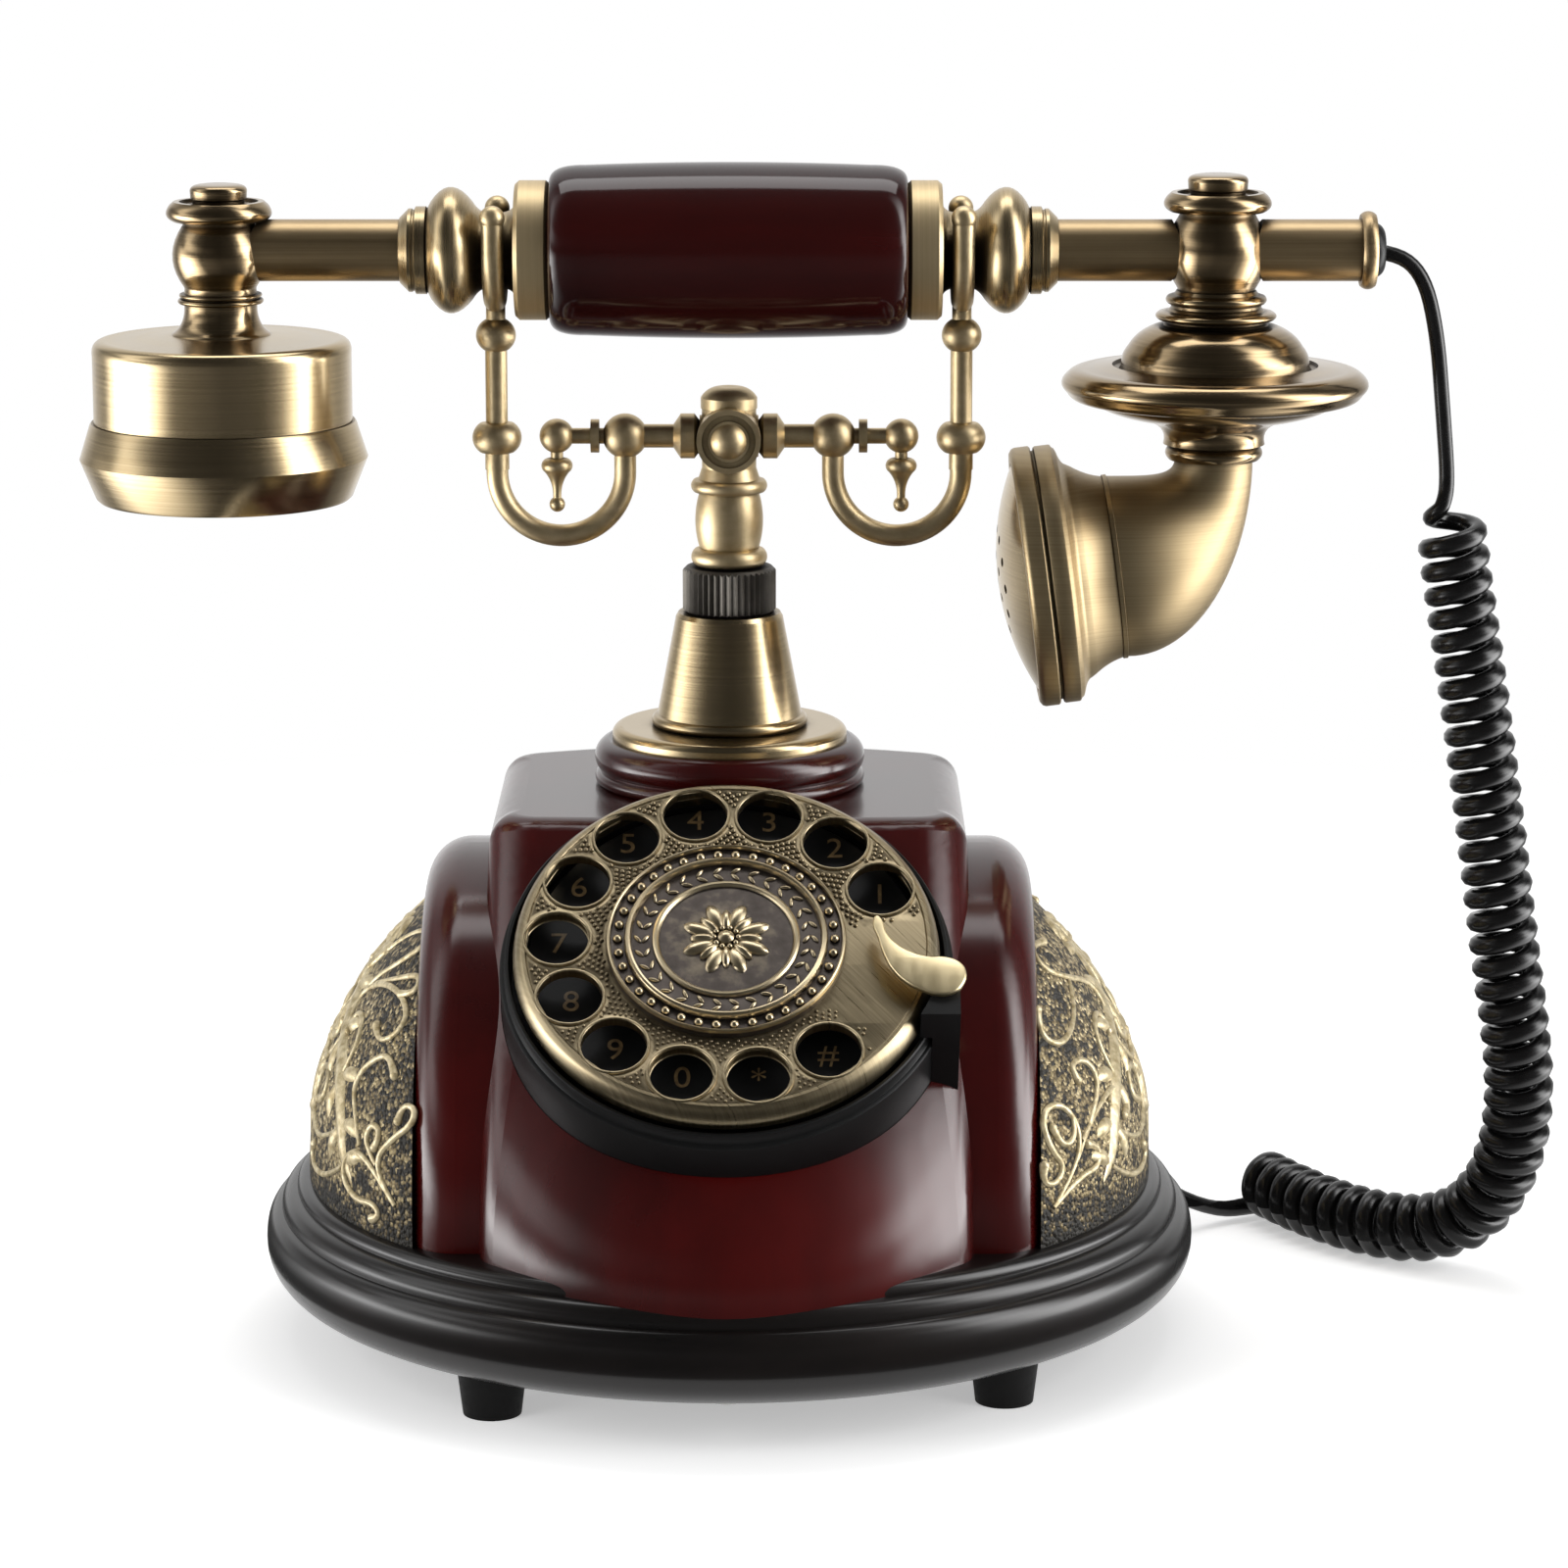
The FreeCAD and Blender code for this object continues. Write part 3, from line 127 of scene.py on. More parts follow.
def noise(spot, scale, detail=3.0, rough=0.55):
    return Wire.node("ShaderNodeTexNoise", None,
                     {"Vector": spot, "Scale": scale, "Detail": detail, "Roughness": rough})


def bump(height, depth, strength):
    return Wire.node("ShaderNodeBump", None, {"Height": height, "Distance": depth, "Strength": strength})


# how closed in a point is, from ambient occlusion; the darkening it drives is painted shade in creases,
# hollows and between parts
def creviceShade(reach):
    open_ = Wire.node("ShaderNodeAmbientOcclusion", {"samples": 6}, {"Distance": reach}, "AO")
    return 1 - open_


def finish(name, recipe):
    made = bpy.data.materials.new(name)
    made.use_nodes = True
    Wire.tree = made.node_tree
    shader = made.node_tree.nodes["Principled BSDF"]
    for key, value in recipe().items():
        Wire.plug(shader.inputs[key], value)
    return made


# camera

cameraSizes = {"place": (0.0105, -1.0, 0.3184), "down": 12.0, "lens": 123.3}

lens = bpy.data.cameras.new("camera")
lens.lens = cameraSizes["lens"]
lens.sensor_width = 36.0
lens.clip_start = 0.05
cameraObject = bpy.data.objects.new("camera", lens)
cameraObject.location = cameraSizes["place"]
cameraObject.rotation_euler = (math.radians(90 - cameraSizes["down"]), 0, 0)
scene.collection.objects.link(cameraObject)
scene.camera = cameraObject
scene.view_settings.view_transform = "Standard"
print("camera set")


# finishes

# bright, deep, and the patina and painted shade of the hollows
brassTones = (0.56, 0.445, 0.27), (0.38, 0.285, 0.155), (0.024, 0.015, 0.008)
bronzeTones = (0.50, 0.375, 0.215), (0.33, 0.235, 0.125), (0.02, 0.012, 0.007)
hornTones = (0.47, 0.37, 0.22), (0.31, 0.23, 0.125), (0.024, 0.015, 0.008)
# a darkened copy of the bronze for the joints, caps and bell, painting in the darker surroundings they
# reflect: painted shade
shadedJointTones = (0.40, 0.30, 0.175), (0.24, 0.172, 0.094), (0.016, 0.010, 0.006)
cradleTones = (0.70, 0.56, 0.34), (0.52, 0.40, 0.225), (0.04, 0.026, 0.013)
pewterTones = (0.15, 0.138, 0.122), (0.08, 0.073, 0.064), (0.006, 0.005, 0.005)
level, upright, lengthwise = (12, 12, 2600), (2600, 12, 12), (12, 2600, 2600)  # how the brush lines run


def brushedBrass(lines, tones, rough, worn=0.18):
    def recipe():
        bright, deep, patinaAndShade = tones
        brush = noise(objectSpace(lines), 1.0, 3.0, 0.7)
        cloud = noise(objectSpace(), 55.0, 4.0)
        # darker where closed in: patina in the hollows, and painted shade in creases and between parts
        dark = creviceShade(0.005).span(worn, worn + 0.44)
        grimeAndShade = dark * cloud.span(0.2, 0.55, 0.6, 1.0)
        shade = brush.span(0.25, 0.75) * 0.75 + cloud.span(0.3, 0.7) * 0.25
        body = tint(shade, deep, bright)
        return {"Base Color": tint(grimeAndShade, body, patinaAndShade),
                "Metallic": 1.0,
                "Roughness": brush.span(0.3, 0.7, rough, rough + 0.06) + grimeAndShade * 0.3,
                "Normal": bump(brush, 0.00003, 0.3)}
    return recipe


antiqueBrass = finish("antiqueBrass", brushedBrass(level, brassTones, 0.18))
hornBrass = finish("hornBrass", brushedBrass(level, hornTones, 0.40))
tubeBronze = finish("tubeBronze", brushedBrass(lengthwise, bronzeTones, 0.34))
turnedBrass = finish("turnedBrass", brushedBrass(upright, brassTones, 0.25))
jointBronze = finish("jointBronze", brushedBrass(level, shadedJointTones, 0.13))
cradleBrass = finish("cradleBrass", brushedBrass((260, 260, 420), cradleTones, 0.38, 0.34))
satinBrass = finish("satinBrass", brushedBrass(upright, cradleTones, 0.44))
darkPewter = finish("darkPewter", brushedBrass((200, 200, 200), pewterTones, 0.46))

# dark and light
woodTones = (0.014, 0.0005, 0.0004), (0.060, 0.0014, 0.0010)
gripTones = (0.007, 0.0004, 0.0003), (0.030, 0.0010, 0.0007)
baseTones = (0.0022, 0.0017, 0.0015), (0.0062, 0.0040, 0.0034)


def lacqueredWood(grain, tones, soft, coat):
    def recipe():
        figure = noise(objectSpace(grain), 1.0, 5.0, 0.6)
        cloud = noise(objectSpace(), 14.0, 3.0)
        shade = figure.span(0.3, 0.72) * 0.6 + cloud.span(0.3, 0.7) * 0.4
        ripple = noise(objectSpace(), 90.0, 1.0)
        return {"Base Color": tint(shade, *tones),
                "Roughness": 0.5,
                "Specular IOR Level": 0.04,
                "Coat Weight": coat,
                "Coat Roughness": soft,
                "Normal": bump(ripple, 0.00012, 0.2)}
    return recipe


mahogany = finish("mahogany", lacqueredWood((34, 34, 7), woodTones, 0.17, 1.0))
gripMahogany = finish("gripMahogany", lacqueredWood((8, 60, 60), gripTones, 0.10, 0.8))


def satinLacquer():
    cloud = noise(objectSpace((30, 30, 90)), 1.0, 4.0)
    return {"Base Color": tint(cloud.span(0.3, 0.7), *baseTones),
            "Roughness": 0.5,
            "Specular IOR Level": 0.1,
            "Coat Weight": 0.7,
            "Coat Roughness": 0.19,
            "Normal": bump(noise(objectSpace(), 120.0, 2.0), 0.0001, 0.25)}


baseLacquer = finish("baseLacquer", satinLacquer)


def mouldedBlack():
    fine = noise(objectSpace(), 1400.0, 2.0)
    cloud = noise(objectSpace(), 60.0, 3.0)
    return {"Base Color": tint(cloud, (0.0035, 0.0035, 0.0038), (0.007, 0.007, 0.007)),
            "Roughness": cloud.span(0.3, 0.7, 0.30, 0.42),
            "Specular IOR Level": 0.22,
            "Normal": bump(fine, 0.00004, 0.3)}


blackPlastic = finish("blackPlastic", mouldedBlack)


def flecked(grain, tones, rough, depth=None, strength=0.4, contrast=(0.0, 1.0), more=None):
    lines, scale, detail = grain

    def recipe():
        fleck = noise(objectSpace(lines), scale, detail)
        found = {"Base Color": tint(fleck.span(*contrast), *tones), "Roughness": fleck.span(0.3, 0.7, *rough)}
        if depth:
            found["Normal"] = bump(fleck, depth, strength)
        return found | (more or {})
    return recipe


jacketTones = (0.0028, 0.0028, 0.0028), (0.0065, 0.006, 0.006)
rubberTones = (0.0022, 0.0022, 0.0022), (0.005, 0.0048, 0.0048)
steelTones = (0.34, 0.34, 0.33), (0.52, 0.52, 0.50)
boardTones = (0.01, 0.06, 0.025), (0.02, 0.10, 0.04)
metal = {"Metallic": 1.0}
cordBlack = finish("cordBlack", flecked((None, 220.0, 2.0), jacketTones, (0.18, 0.28), 0.00005,
                                        more={"Specular IOR Level": 0.4}))
rubber = finish("rubber", flecked((None, 900.0, 3.0), rubberTones, (0.5, 0.66), 0.00008,
                                  more={"Specular IOR Level": 0.15}))
steel = finish("steel", flecked(((700, 60, 60), 1.0, 2.0), steelTones, (0.26, 0.4), 0.00003, more=metal))
board = finish("board", flecked((None, 160.0, 4.0), boardTones, (0.35, 0.5), contrast=(0.35, 0.65)))


def castRelief():
    x, z = axes(objectSpace(), "XZ")
    grains = {"Vector": objectSpace(), "Scale": 1250.0}
    cell = Wire.node("ShaderNodeTexVoronoi", {"feature": "F1"}, grains)
    grain = Wire.node("ShaderNodeTexVoronoi", {"feature": "F1"}, grains, "Color")
    tone = Wire.node("ShaderNodeSeparateColor", None, {0: grain})
    patch = noise(objectSpace(), 46.0, 3.0)
    outer = x.math("ABSOLUTE").span(0.056, 0.072, -0.2, -0.04)
    foot = z.span(0.031, 0.040, -0.3, 0.0)
    # dark spots that paint the shade in the gaps between leaves
    gapShade = noise(objectSpace(), 170.0, 2.0).span(0.56, 0.68, 0.0, -0.4)
    # painted shadow round the raised vines
    vineShadow = creviceShade(0.003).span(0.22, 0.55, 0.0, -0.8)
    # grains are darker towards their edges, painting shade between their domes
    lit = tone * 0.6 + patch.span(0.3, 0.7, -0.08, 0.24) + outer + foot + gapShade + vineShadow - cell * 0.25 + 0.24
    stops = [(0.22, (0.010, 0.008, 0.005)), (0.42, (0.16, 0.12, 0.06)), (0.62, (0.42, 0.335, 0.18)),
             (0.9, (0.68, 0.575, 0.37))]
    return {"Base Color": Wire.node("ShaderNodeValToRGB", {"stops": stops}, {0: lit}),
            "Metallic": lit.span(0.2, 0.6, 0.15, 0.5),
            "Roughness": lit.span(0.2, 0.7, 0.6, 0.38),
            "Normal": bump(cell * -1 + patch, 0.0006, 0.9)}


reliefGold = finish("reliefGold", castRelief)
print("finishes made")


# node finishes

nodeFinishes = {
    mahogany: ["body_shell", "top_plinth"],
    gripMahogany: ["grip"],
    baseLacquer: ["base_moulding", "bottom_plate"],
    antiqueBrass: ["column_flange", "column_cone", "mouth_grille"],
    jointBronze: ["ear_joint", "mouth_joint", "joint_caps", "mouth_bell"],
    hornBrass: ["ear_shell", "ear_cover", "horn_elbow", "horn_rim"],
    satinBrass: ["ferrules"],
    turnedBrass: ["turned_necks"],
    tubeBronze: ["left_tube", "right_tube", "tail_collar"],
    cradleBrass: ["cradle_post", "cross_hub", "hub_cap", "right_arm", "left_arm", "drop_finials",
                  "right_hook", "left_hook"],
    darkPewter: ["knurled_collar"],
    reliefGold: ["right_dome", "left_dome"],
    blackPlastic: ["number_plate", "dial_housing", "finger_stop_post", "dial_frame", "handset_bush",
                   "cord_bush", "line_jack", "receiver_capsule", "microphone_capsule", "hook_switch"],
    cordBlack: ["curly_cord", "handset_lead", "base_lead"],
    rubber: ["rubber_feet"],
    steel: ["base_screws", "ballast_plate", "ringer", "cradle_spring", "plunger_rod", "dial_spindle",
            "dial_gear", "governor_pinion"],
    board: ["circuit_board"],
}

for coat, names in nodeFinishes.items():
    for name in names:
        nodes[name].data.materials.clear()
        nodes[name].data.materials.append(coat)


# cord

cordSizes = {
    "lead": 0.0015, "wire": 1.32, "coil": 0.0050, "pitch": 0.00465, "swirl": 0.013, "perTurn": 14,
    "top": [(118.4, 17, 205.7), (125.8, 17, 205.7), (131.8, 17, 201.4), (134.7, 17, 190.2),
            (136.2, 17, 175.0)],
    "axis": [
        (137.5, 17, 161.0), (138.8, 17, 148.4), (140.7, 17, 136.9), (143.3, 17, 121.6), (147.1, 17, 96.4),
        (151.2, 17, 67.2), (153.6, 18, 53.0), (154.9, 19.2, 42.0), (154.8, 21.2, 31.0), (152.2, 24.0, 20.2),
        (146.6, 28.0, 11.6), (138.0, 33.0, 7.6), (129.2, 39.6, 6.9), (121.4, 48.0, 7.0), (114.6, 58.0, 7.2),
        (109.0, 68.0, 7.6)],
    "tail": [(97.8, 61.5, 2.8), (80.9, 50.6, 15.0), (66.5, 41.5, 15.0)],
}


def routeCurve(name, runs, bevel=0.0, rounds=3):
    # each run is a list of points, with the radius at each after them where it changes
    line = bpy.data.curves.new(name, "CURVE")
    line.dimensions = "3D"
    line.resolution_u = 6
    line.bevel_depth = bevel
    line.bevel_resolution = rounds
    line.use_fill_caps = bevel > 0
    for points, *radii in runs:
        run = line.splines.new("NURBS")
        run.points.add(len(points) - 1)
        for i, point in enumerate(points):
            run.points[i].co = (point[0], point[1], point[2], 1.0)
            run.points[i].radius = radii[0][i] if radii else 1.0
        run.order_u = 3
        run.use_endpoint_u = True
    made = bpy.data.objects.new(name, line)
    scene.collection.objects.link(made)
    return made


def takeMesh(made, name):
    # the evaluated shape of a curve or text, the curve itself removed
    bpy.context.view_layer.update()
    mesh = bpy.data.meshes.new_from_object(made.evaluated_get(bpy.context.evaluated_depsgraph_get()))
    mesh.name = name
    bpy.data.objects.remove(made)
    return mesh


def routePoints(points):
    mesh = takeMesh(routeCurve("route", [(points,)]), "route")
    found = [v.co.copy() for v in mesh.vertices]
    bpy.data.meshes.remove(mesh)
    return found


def turnsAt(along, sizes):
    f = along / sizes["swirl"]
    if f < 1:
        return sizes["swirl"] / sizes["pitch"] * (f ** 3 - f ** 4 / 2)
    return (along - sizes["swirl"] / 2) / sizes["pitch"]


def curlPoints(axis, sizes):
    ways = []
    side = Vector((0, 1, 0))
    travelled = 0.0
    for i, spot in enumerate(axis):
        ahead = (axis[min(i + 1, len(axis) - 1)] - axis[max(i - 1, 0)]).normalized()
        side = (side - ahead * side.dot(ahead)).normalized()
        if i:
            travelled += (spot - axis[i - 1]).length
        ways.append((travelled, spot, side, ahead.cross(side)))
    finalSide, finalCross = ways[-1][2], ways[-1][3]
    lastPhase = math.atan2(-finalCross.z, -finalSide.z)  # the last curl ends lowest
    allTurns = turnsAt(travelled, sizes)
    found = []
    i = 0
    made = -1
    steps = int(travelled / 0.0001)
    for k in range(steps + 1):
        along = travelled * k / steps
        turn = turnsAt(along, sizes)
        while i < len(ways) - 2 and ways[i + 1][0] < along:
            i += 1
        if int(turn * sizes["perTurn"]) == made and k < steps:
            continue
        made = int(turn * sizes["perTurn"])
        w = (along - ways[i][0]) / (ways[i + 1][0] - ways[i][0])
        spot, side, cross = (ways[i][j].lerp(ways[i + 1][j], w) for j in (1, 2, 3))
        grown = min(1.0, along / (0.7 * sizes["swirl"]))
        reach = sizes["coil"] * grown * grown * (3 - 2 * grown)
        phase = lastPhase - 2 * math.pi * (allTurns - turn)
        found.append(spot + side * (reach * math.cos(phase)) + cross * (reach * math.sin(phase)))
    return found


def shown(mesh, name, coat, body, *stands):
    mesh.materials.clear()
    mesh.materials.append(coat)
    made = bpy.data.objects.new(name, mesh)
    scene.collection.objects.link(made)
    if body:
        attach(made, body)
    if stands:
        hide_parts(*stands)
    return made


def makeCord(sizes):
    axis = routePoints([Vector(p) * mm for p in sizes["axis"]])
    curls = curlPoints(axis, sizes)
    top = [Vector(p) * mm for p in sizes["top"]]
    tail = [Vector(p) * mm for p in sizes["tail"]]
    points = top + curls + tail
    radii = [1.0] * len(top) + [sizes["wire"]] * len(curls) + [1.0] * len(tail)
    for i in range(12):
        radii[len(top) + i] = 1.0 + (sizes["wire"] - 1.0) * i / 12
    path = routePoints(points)
    mesh = takeMesh(routeCurve("cord", [(points, radii)], sizes["lead"]), "cord")
    mesh.shade_smooth()
    cord = shown(mesh, "cord", cordBlack, None, "curly_cord", "handset_lead", "base_lead")
    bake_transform(cord)


makeCord(cordSizes)


# shapes that several pieces share

def spun(profile, steps=96):
    # a turned shape from (radius, height) points in millimetres
    bm = bmesh.new()
    line = [bm.verts.new((r * mm, 0, z * mm)) for r, z in profile]
    edges = [bm.edges.new(pair) for pair in zip(line, line[1:])]
    bmesh.ops.spin(bm, geom=line + edges, cent=(0, 0, 0), axis=(0, 0, 1), angle=2 * math.pi, steps=steps,
                   use_merge=True)
    bmesh.ops.remove_doubles(bm, verts=bm.verts, dist=1e-6)
    bmesh.ops.recalc_face_normals(bm, faces=bm.faces)
    return bm


def profileLine(entries, steps=10):
    # (r, z) runs straight on, (r, z, r, z) bows through its first point
    line = [Vector(entries[0])]
    for entry in entries[1:]:
        end = Vector(entry[-2:])
        if len(entry) == 4:
            start = line[-1]
            pull = Vector(entry[:2]) * 2 - (start + end) / 2
            handles = start.lerp(pull, 2 / 3), end.lerp(pull, 2 / 3)
            line += geometry.interpolate_bezier(start, *handles, end, steps)[1:]
        else:
            line.append(end)
    return line


def settle(bm, name, place=None, crease=34):
    if place:
        bmesh.ops.transform(bm, matrix=place, verts=bm.verts)
    mesh = bpy.data.meshes.new(name)
    bm.to_mesh(mesh)
    bm.free()
    mesh.shade_smooth()
    mesh.set_sharp_from_angle(angle=math.radians(crease))
    return mesh


def piece(bm, name, coat, body, slot, *stands, place=None, crease=34):
    made = shown(settle(bm, name, place, crease), name, coat, body, *stands)


def addTo(bm, part, place=None):
    mesh = settle(part, "part", place)
    bm.from_mesh(mesh)
    bpy.data.meshes.remove(mesh)


def flatCurve(name, thick, bevel):
    line = bpy.data.curves.new(name, "CURVE")
    line.dimensions = "2D"
    line.fill_mode = "BOTH"
    line.extrude = (thick / 2 - bevel) * mm
    line.bevel_depth = bevel * mm
    line.bevel_resolution = 2
    line.offset = -bevel * mm
    line.resolution_u = 12
    made = bpy.data.objects.new(name, line)
    scene.collection.objects.link(made)
    return made


def addCircle(line, x, y, r):
    ring = line.splines.new("BEZIER")
    ring.bezier_points.add(3)
    ring.use_cyclic_u = True
    for i, point in enumerate(ring.bezier_points):
        out = Vector((math.cos(i * math.pi / 2), math.sin(i * math.pi / 2), 0))
        side = Vector((-out.y, out.x, 0)) * (0.5523 * r * mm)
        point.co = Vector((x, y, 0)) * mm + out * (r * mm)
        point.handle_left = point.co - side
        point.handle_right = point.co + side


def addOutline(line, points):
    ring = line.splines.new("BEZIER")
    ring.bezier_points.add(len(points) - 1)
    ring.use_cyclic_u = True
    for point, (x, y) in zip(ring.bezier_points, points):
        point.co = (x * mm, y * mm, 0)
        point.handle_left_type = "AUTO"
        point.handle_right_type = "AUTO"


def solidOf(made, height):
    # the closed shape of a flat curve, its middle at a height
    mesh = takeMesh(made, "flat")
    bm = bmesh.new()
    bm.from_mesh(mesh)
    bpy.data.meshes.remove(mesh)
    bmesh.ops.remove_doubles(bm, verts=bm.verts, dist=1e-6)
    bmesh.ops.recalc_face_normals(bm, faces=bm.faces)
    bmesh.ops.translate(bm, vec=(0, 0, height * mm), verts=bm.verts)
    return bm


def addBud(bm, x, y, z, turn, long, wide, high):
    # a raised leaf or pearl, half sunk in the face below
    place = Matrix.Translation(Vector((x, y, z)) * mm) @ Matrix.Rotation(turn, 4, "Z")
    place = place @ Matrix.Diagonal((long * mm, wide * mm, high * mm, 1.0))
    bmesh.ops.create_uvsphere(bm, u_segments=12, v_segments=6, radius=1.0, matrix=place)


def polar(r, degrees):
    return r * math.cos(math.radians(degrees)), r * math.sin(math.radians(degrees))


# handset ends

handsetSizes = {
    "axis": (17.0, 205.7), "ear": -96.5, "mouth": 92.6,
    "grip": [(3.0, -33.8), (12.3, -33.8), (15.2, -32.6, 16.1, -27.0), (16.65, 0, 16.1, 27.0),
             (15.2, 32.6, 12.3, 33.8), (3.0, 33.8), (3.0, -33.8)],
    "neck": [
        (3.0, 40.3), (10.4, 40.3), (8.0, 40.9, 7.15, 43.2), (7.15, 45.0), (7.5, 46.9, 9.2, 48.5),
        (11.95, 52.6, 9.2, 56.4), (8.4, 56.8), (7.9, 57.1), (8.3, 57.3), (8.3, 59.2), (8.0, 59.4),
        (7.7, 59.5), (7.7, 59.8), (7.9, 60.0), (7.9, 60.6), (6.2, 62.3), (5.2, 62.4), (3.0, 62.4),
        (3.0, 40.3)],
    "earJoint": [
        (0, -16.2), (9.6, -16.2), (9.3, -15.7), (7.5, -13.7, 6.9, -10.4), (6.9, -10.2), (7.9, -10.0),
        (8.15, -9.6, 7.9, -9.2), (7.2, -9.1), (7.2, -8.9), (7.7, -8.8), (7.85, -8.5, 7.7, -8.2), (6.9, -8.1),
        (6.8, -7.3), (6.9, -6.9), (9.0, -1.1, 7.0, 4.7), (6.8, 5.0), (6.8, 5.4), (8.8, 5.6),
        (10.0, 6.9, 9.3, 8.7), (8.6, 9.3), (7.5, 9.3), (7.3, 8.7), (0, 8.7)],
    "earShell": [(3.0, -16.0), (9.8, -16.0), (21.4, -16.9), (24.0, -17.4, 24.6, -19.8), (24.6, -32.5),
                 (22.4, -32.5), (22.4, -18.2), (3.0, -18.2), (3.0, -16.0)],
    "earCover": [
        (18.6, -45.9), (20.6, -46.6, 22.6, -47.6), (23.9, -47.5), (24.5, -46.9), (27.3, -39.9),
        (27.45, -39.5), (27.3, -39.1), (25.4, -33.0), (25.1, -32.6), (21.4, -32.6), (21.4, -44.3),
        (18.6, -44.3), (18.6, -45.9)],
    "mouthJoint": [(0, -8.0), (7.2, -8.0), (7.4, -7.2), (9.6, -0.4, 7.4, 6.4), (7.2, 6.8), (7.2, 7.2),
                   (9.0, 7.4), (10.2, 8.7, 9.5, 10.4), (8.8, 11.0), (7.7, 11.0), (7.5, 10.4), (0, 10.4)],
    "earCap": [(0, 8.6), (4.9, 8.6), (4.9, 9.5), (5.3, 9.8), (5.4, 11.0), (5.2, 11.9, 4.2, 12.4),
               (3.4, 12.5), (0, 12.5)],
    "mouthCap": [(0, 10.3), (5.2, 10.3), (5.2, 11.2), (5.6, 11.5), (5.7, 12.8), (5.5, 13.8, 4.4, 14.3),
                 (3.6, 14.4), (0, 14.4)],
    "mouthBell": [
        (2.2, -39.9), (8.6, -39.9), (9.3, -38.6, 8.6, -37.3), (9.0, -37.1), (9.7, -36.9),
        (10.6, -33.6, 15.5, -31.8), (20.6, -30.4, 23.6, -28.6), (24.0, -28.3), (26.6, -28.4, 28.3, -26.9),
        (29.2, -25.2, 27.9, -23.4), (26.6, -22.7, 24.6, -22.5), (19.6, -21.8), (19.3, -22.4), (18.3, -22.6),
        (18.0, -22.2), (17.9, -21.4), (17.6, -19.8, 16.6, -18.2), (14.6, -15.9, 11.6, -14.3), (10.0, -14.1),
        (9.6, -13.6), (9.6, -13.3), (10.9, -13.1), (11.5, -12.4, 10.9, -11.7), (9.2, -11.4), (8.6, -10.8),
        (8.6, -10.3), (9.2, -10.0), (9.6, -9.3, 9.2, -8.6), (8.0, -8.2), (7.6, -7.6), (2.2, -7.6),
        (2.2, -39.9)],
    "rim": [
        (17.8, -0.1), (20.0, -0.1), (20.6, 0.9), (21.4, 1.8, 23.2, 2.5), (23.9, 2.8), (24.3, 3.3),
        (24.7, 3.5), (24.8, 3.8), (24.8, 6.4), (24.6, 6.7), (24.0, 6.85), (24.0, 7.25), (24.7, 7.4),
        (25.0, 7.7), (25.0, 10.3), (24.75, 10.9), (24.0, 11.4), (23.0, 11.5), (22.4, 11.3), (22.4, 9.6),
        (17.8, 9.5), (17.8, -0.1)],
    "earGrid": {"thick": 1.6, "bevel": 0.2, "radius": 19.0, "hole": 0.9, "height": -45.1,
                "rings": [(0.0, 1), (4.5, 6), (9.0, 12)]},
    "horn": {"top": 165.8, "neck": (85.15, 100.05), "inner": (72.2, 162.3), "outer": (76.66, 127.7),
             "turn": 82.7, "flare": 6.55, "mouth": 20.05, "rows": 28,
             "seam": [(1.0, 0), (1.1, 0.32), (1.9, 0.32), (2.0, 0.05)]},
}


def hornFrame(s):
    # place and radius at a share of the bend, which past 1 runs straight on in millimetres
    h = handsetSizes["horn"]
    swing = min(s, 1) * math.pi / 2
    near, far = h["neck"]
    inner = Vector((near + (h["inner"][0] - near) * min(s, 1) ** 2, h["top"]))
    inner.y += (h["inner"][1] - h["top"]) * (1 - (1 - min(s, 1)) ** 3)
    outer = Vector((h["outer"][0] + (far - h["outer"][0]) * math.cos(swing),
                    h["top"] + (h["outer"][1] - h["top"]) * math.sin(swing)))
    across = (outer - inner).normalized()
    facing = Vector((across.y, 0, -across.x))
    middle = (inner + outer) / 2
    side = Vector((0, 1, 0))
    place = Matrix((side, facing.cross(side), facing)).transposed().to_4x4()
    place.translation = (Vector((middle.x, handsetSizes["axis"][0], middle.y)) + facing * max(s - 1, 0)) * mm
    return place, (outer - inner).length / 2


def makeHorn():
    h = handsetSizes["horn"]
    rows = [(i / h["rows"], 0) for i in range(h["rows"])] + h["seam"]
    grow = h["mouth"] - hornFrame(1.0)[1]
    rows += [(1 + h["flare"] * i / 10, grow * (i / 10) ** 1.8) for i in range(3, 11)]
    bm = bmesh.new()
    last = None
    for s, more in rows:
        place, r = hornFrame(s)
        ring = bmesh.ops.create_circle(bm, segments=96, radius=(r + more) * mm, matrix=place)["verts"]
        edges = list(dict.fromkeys(e for v in ring for e in v.link_edges))
        if last is None:
            bmesh.ops.edgeloop_fill(bm, edges=edges)
        else:
            bmesh.ops.bridge_loops(bm, edges=last + edges)
        last = edges
    bmesh.ops.edgeloop_fill(bm, edges=last)
    bmesh.ops.recalc_face_normals(bm, faces=bm.faces)
    piece(bm, "horn", hornBrass, "handset", "antique_brass", "horn_elbow")


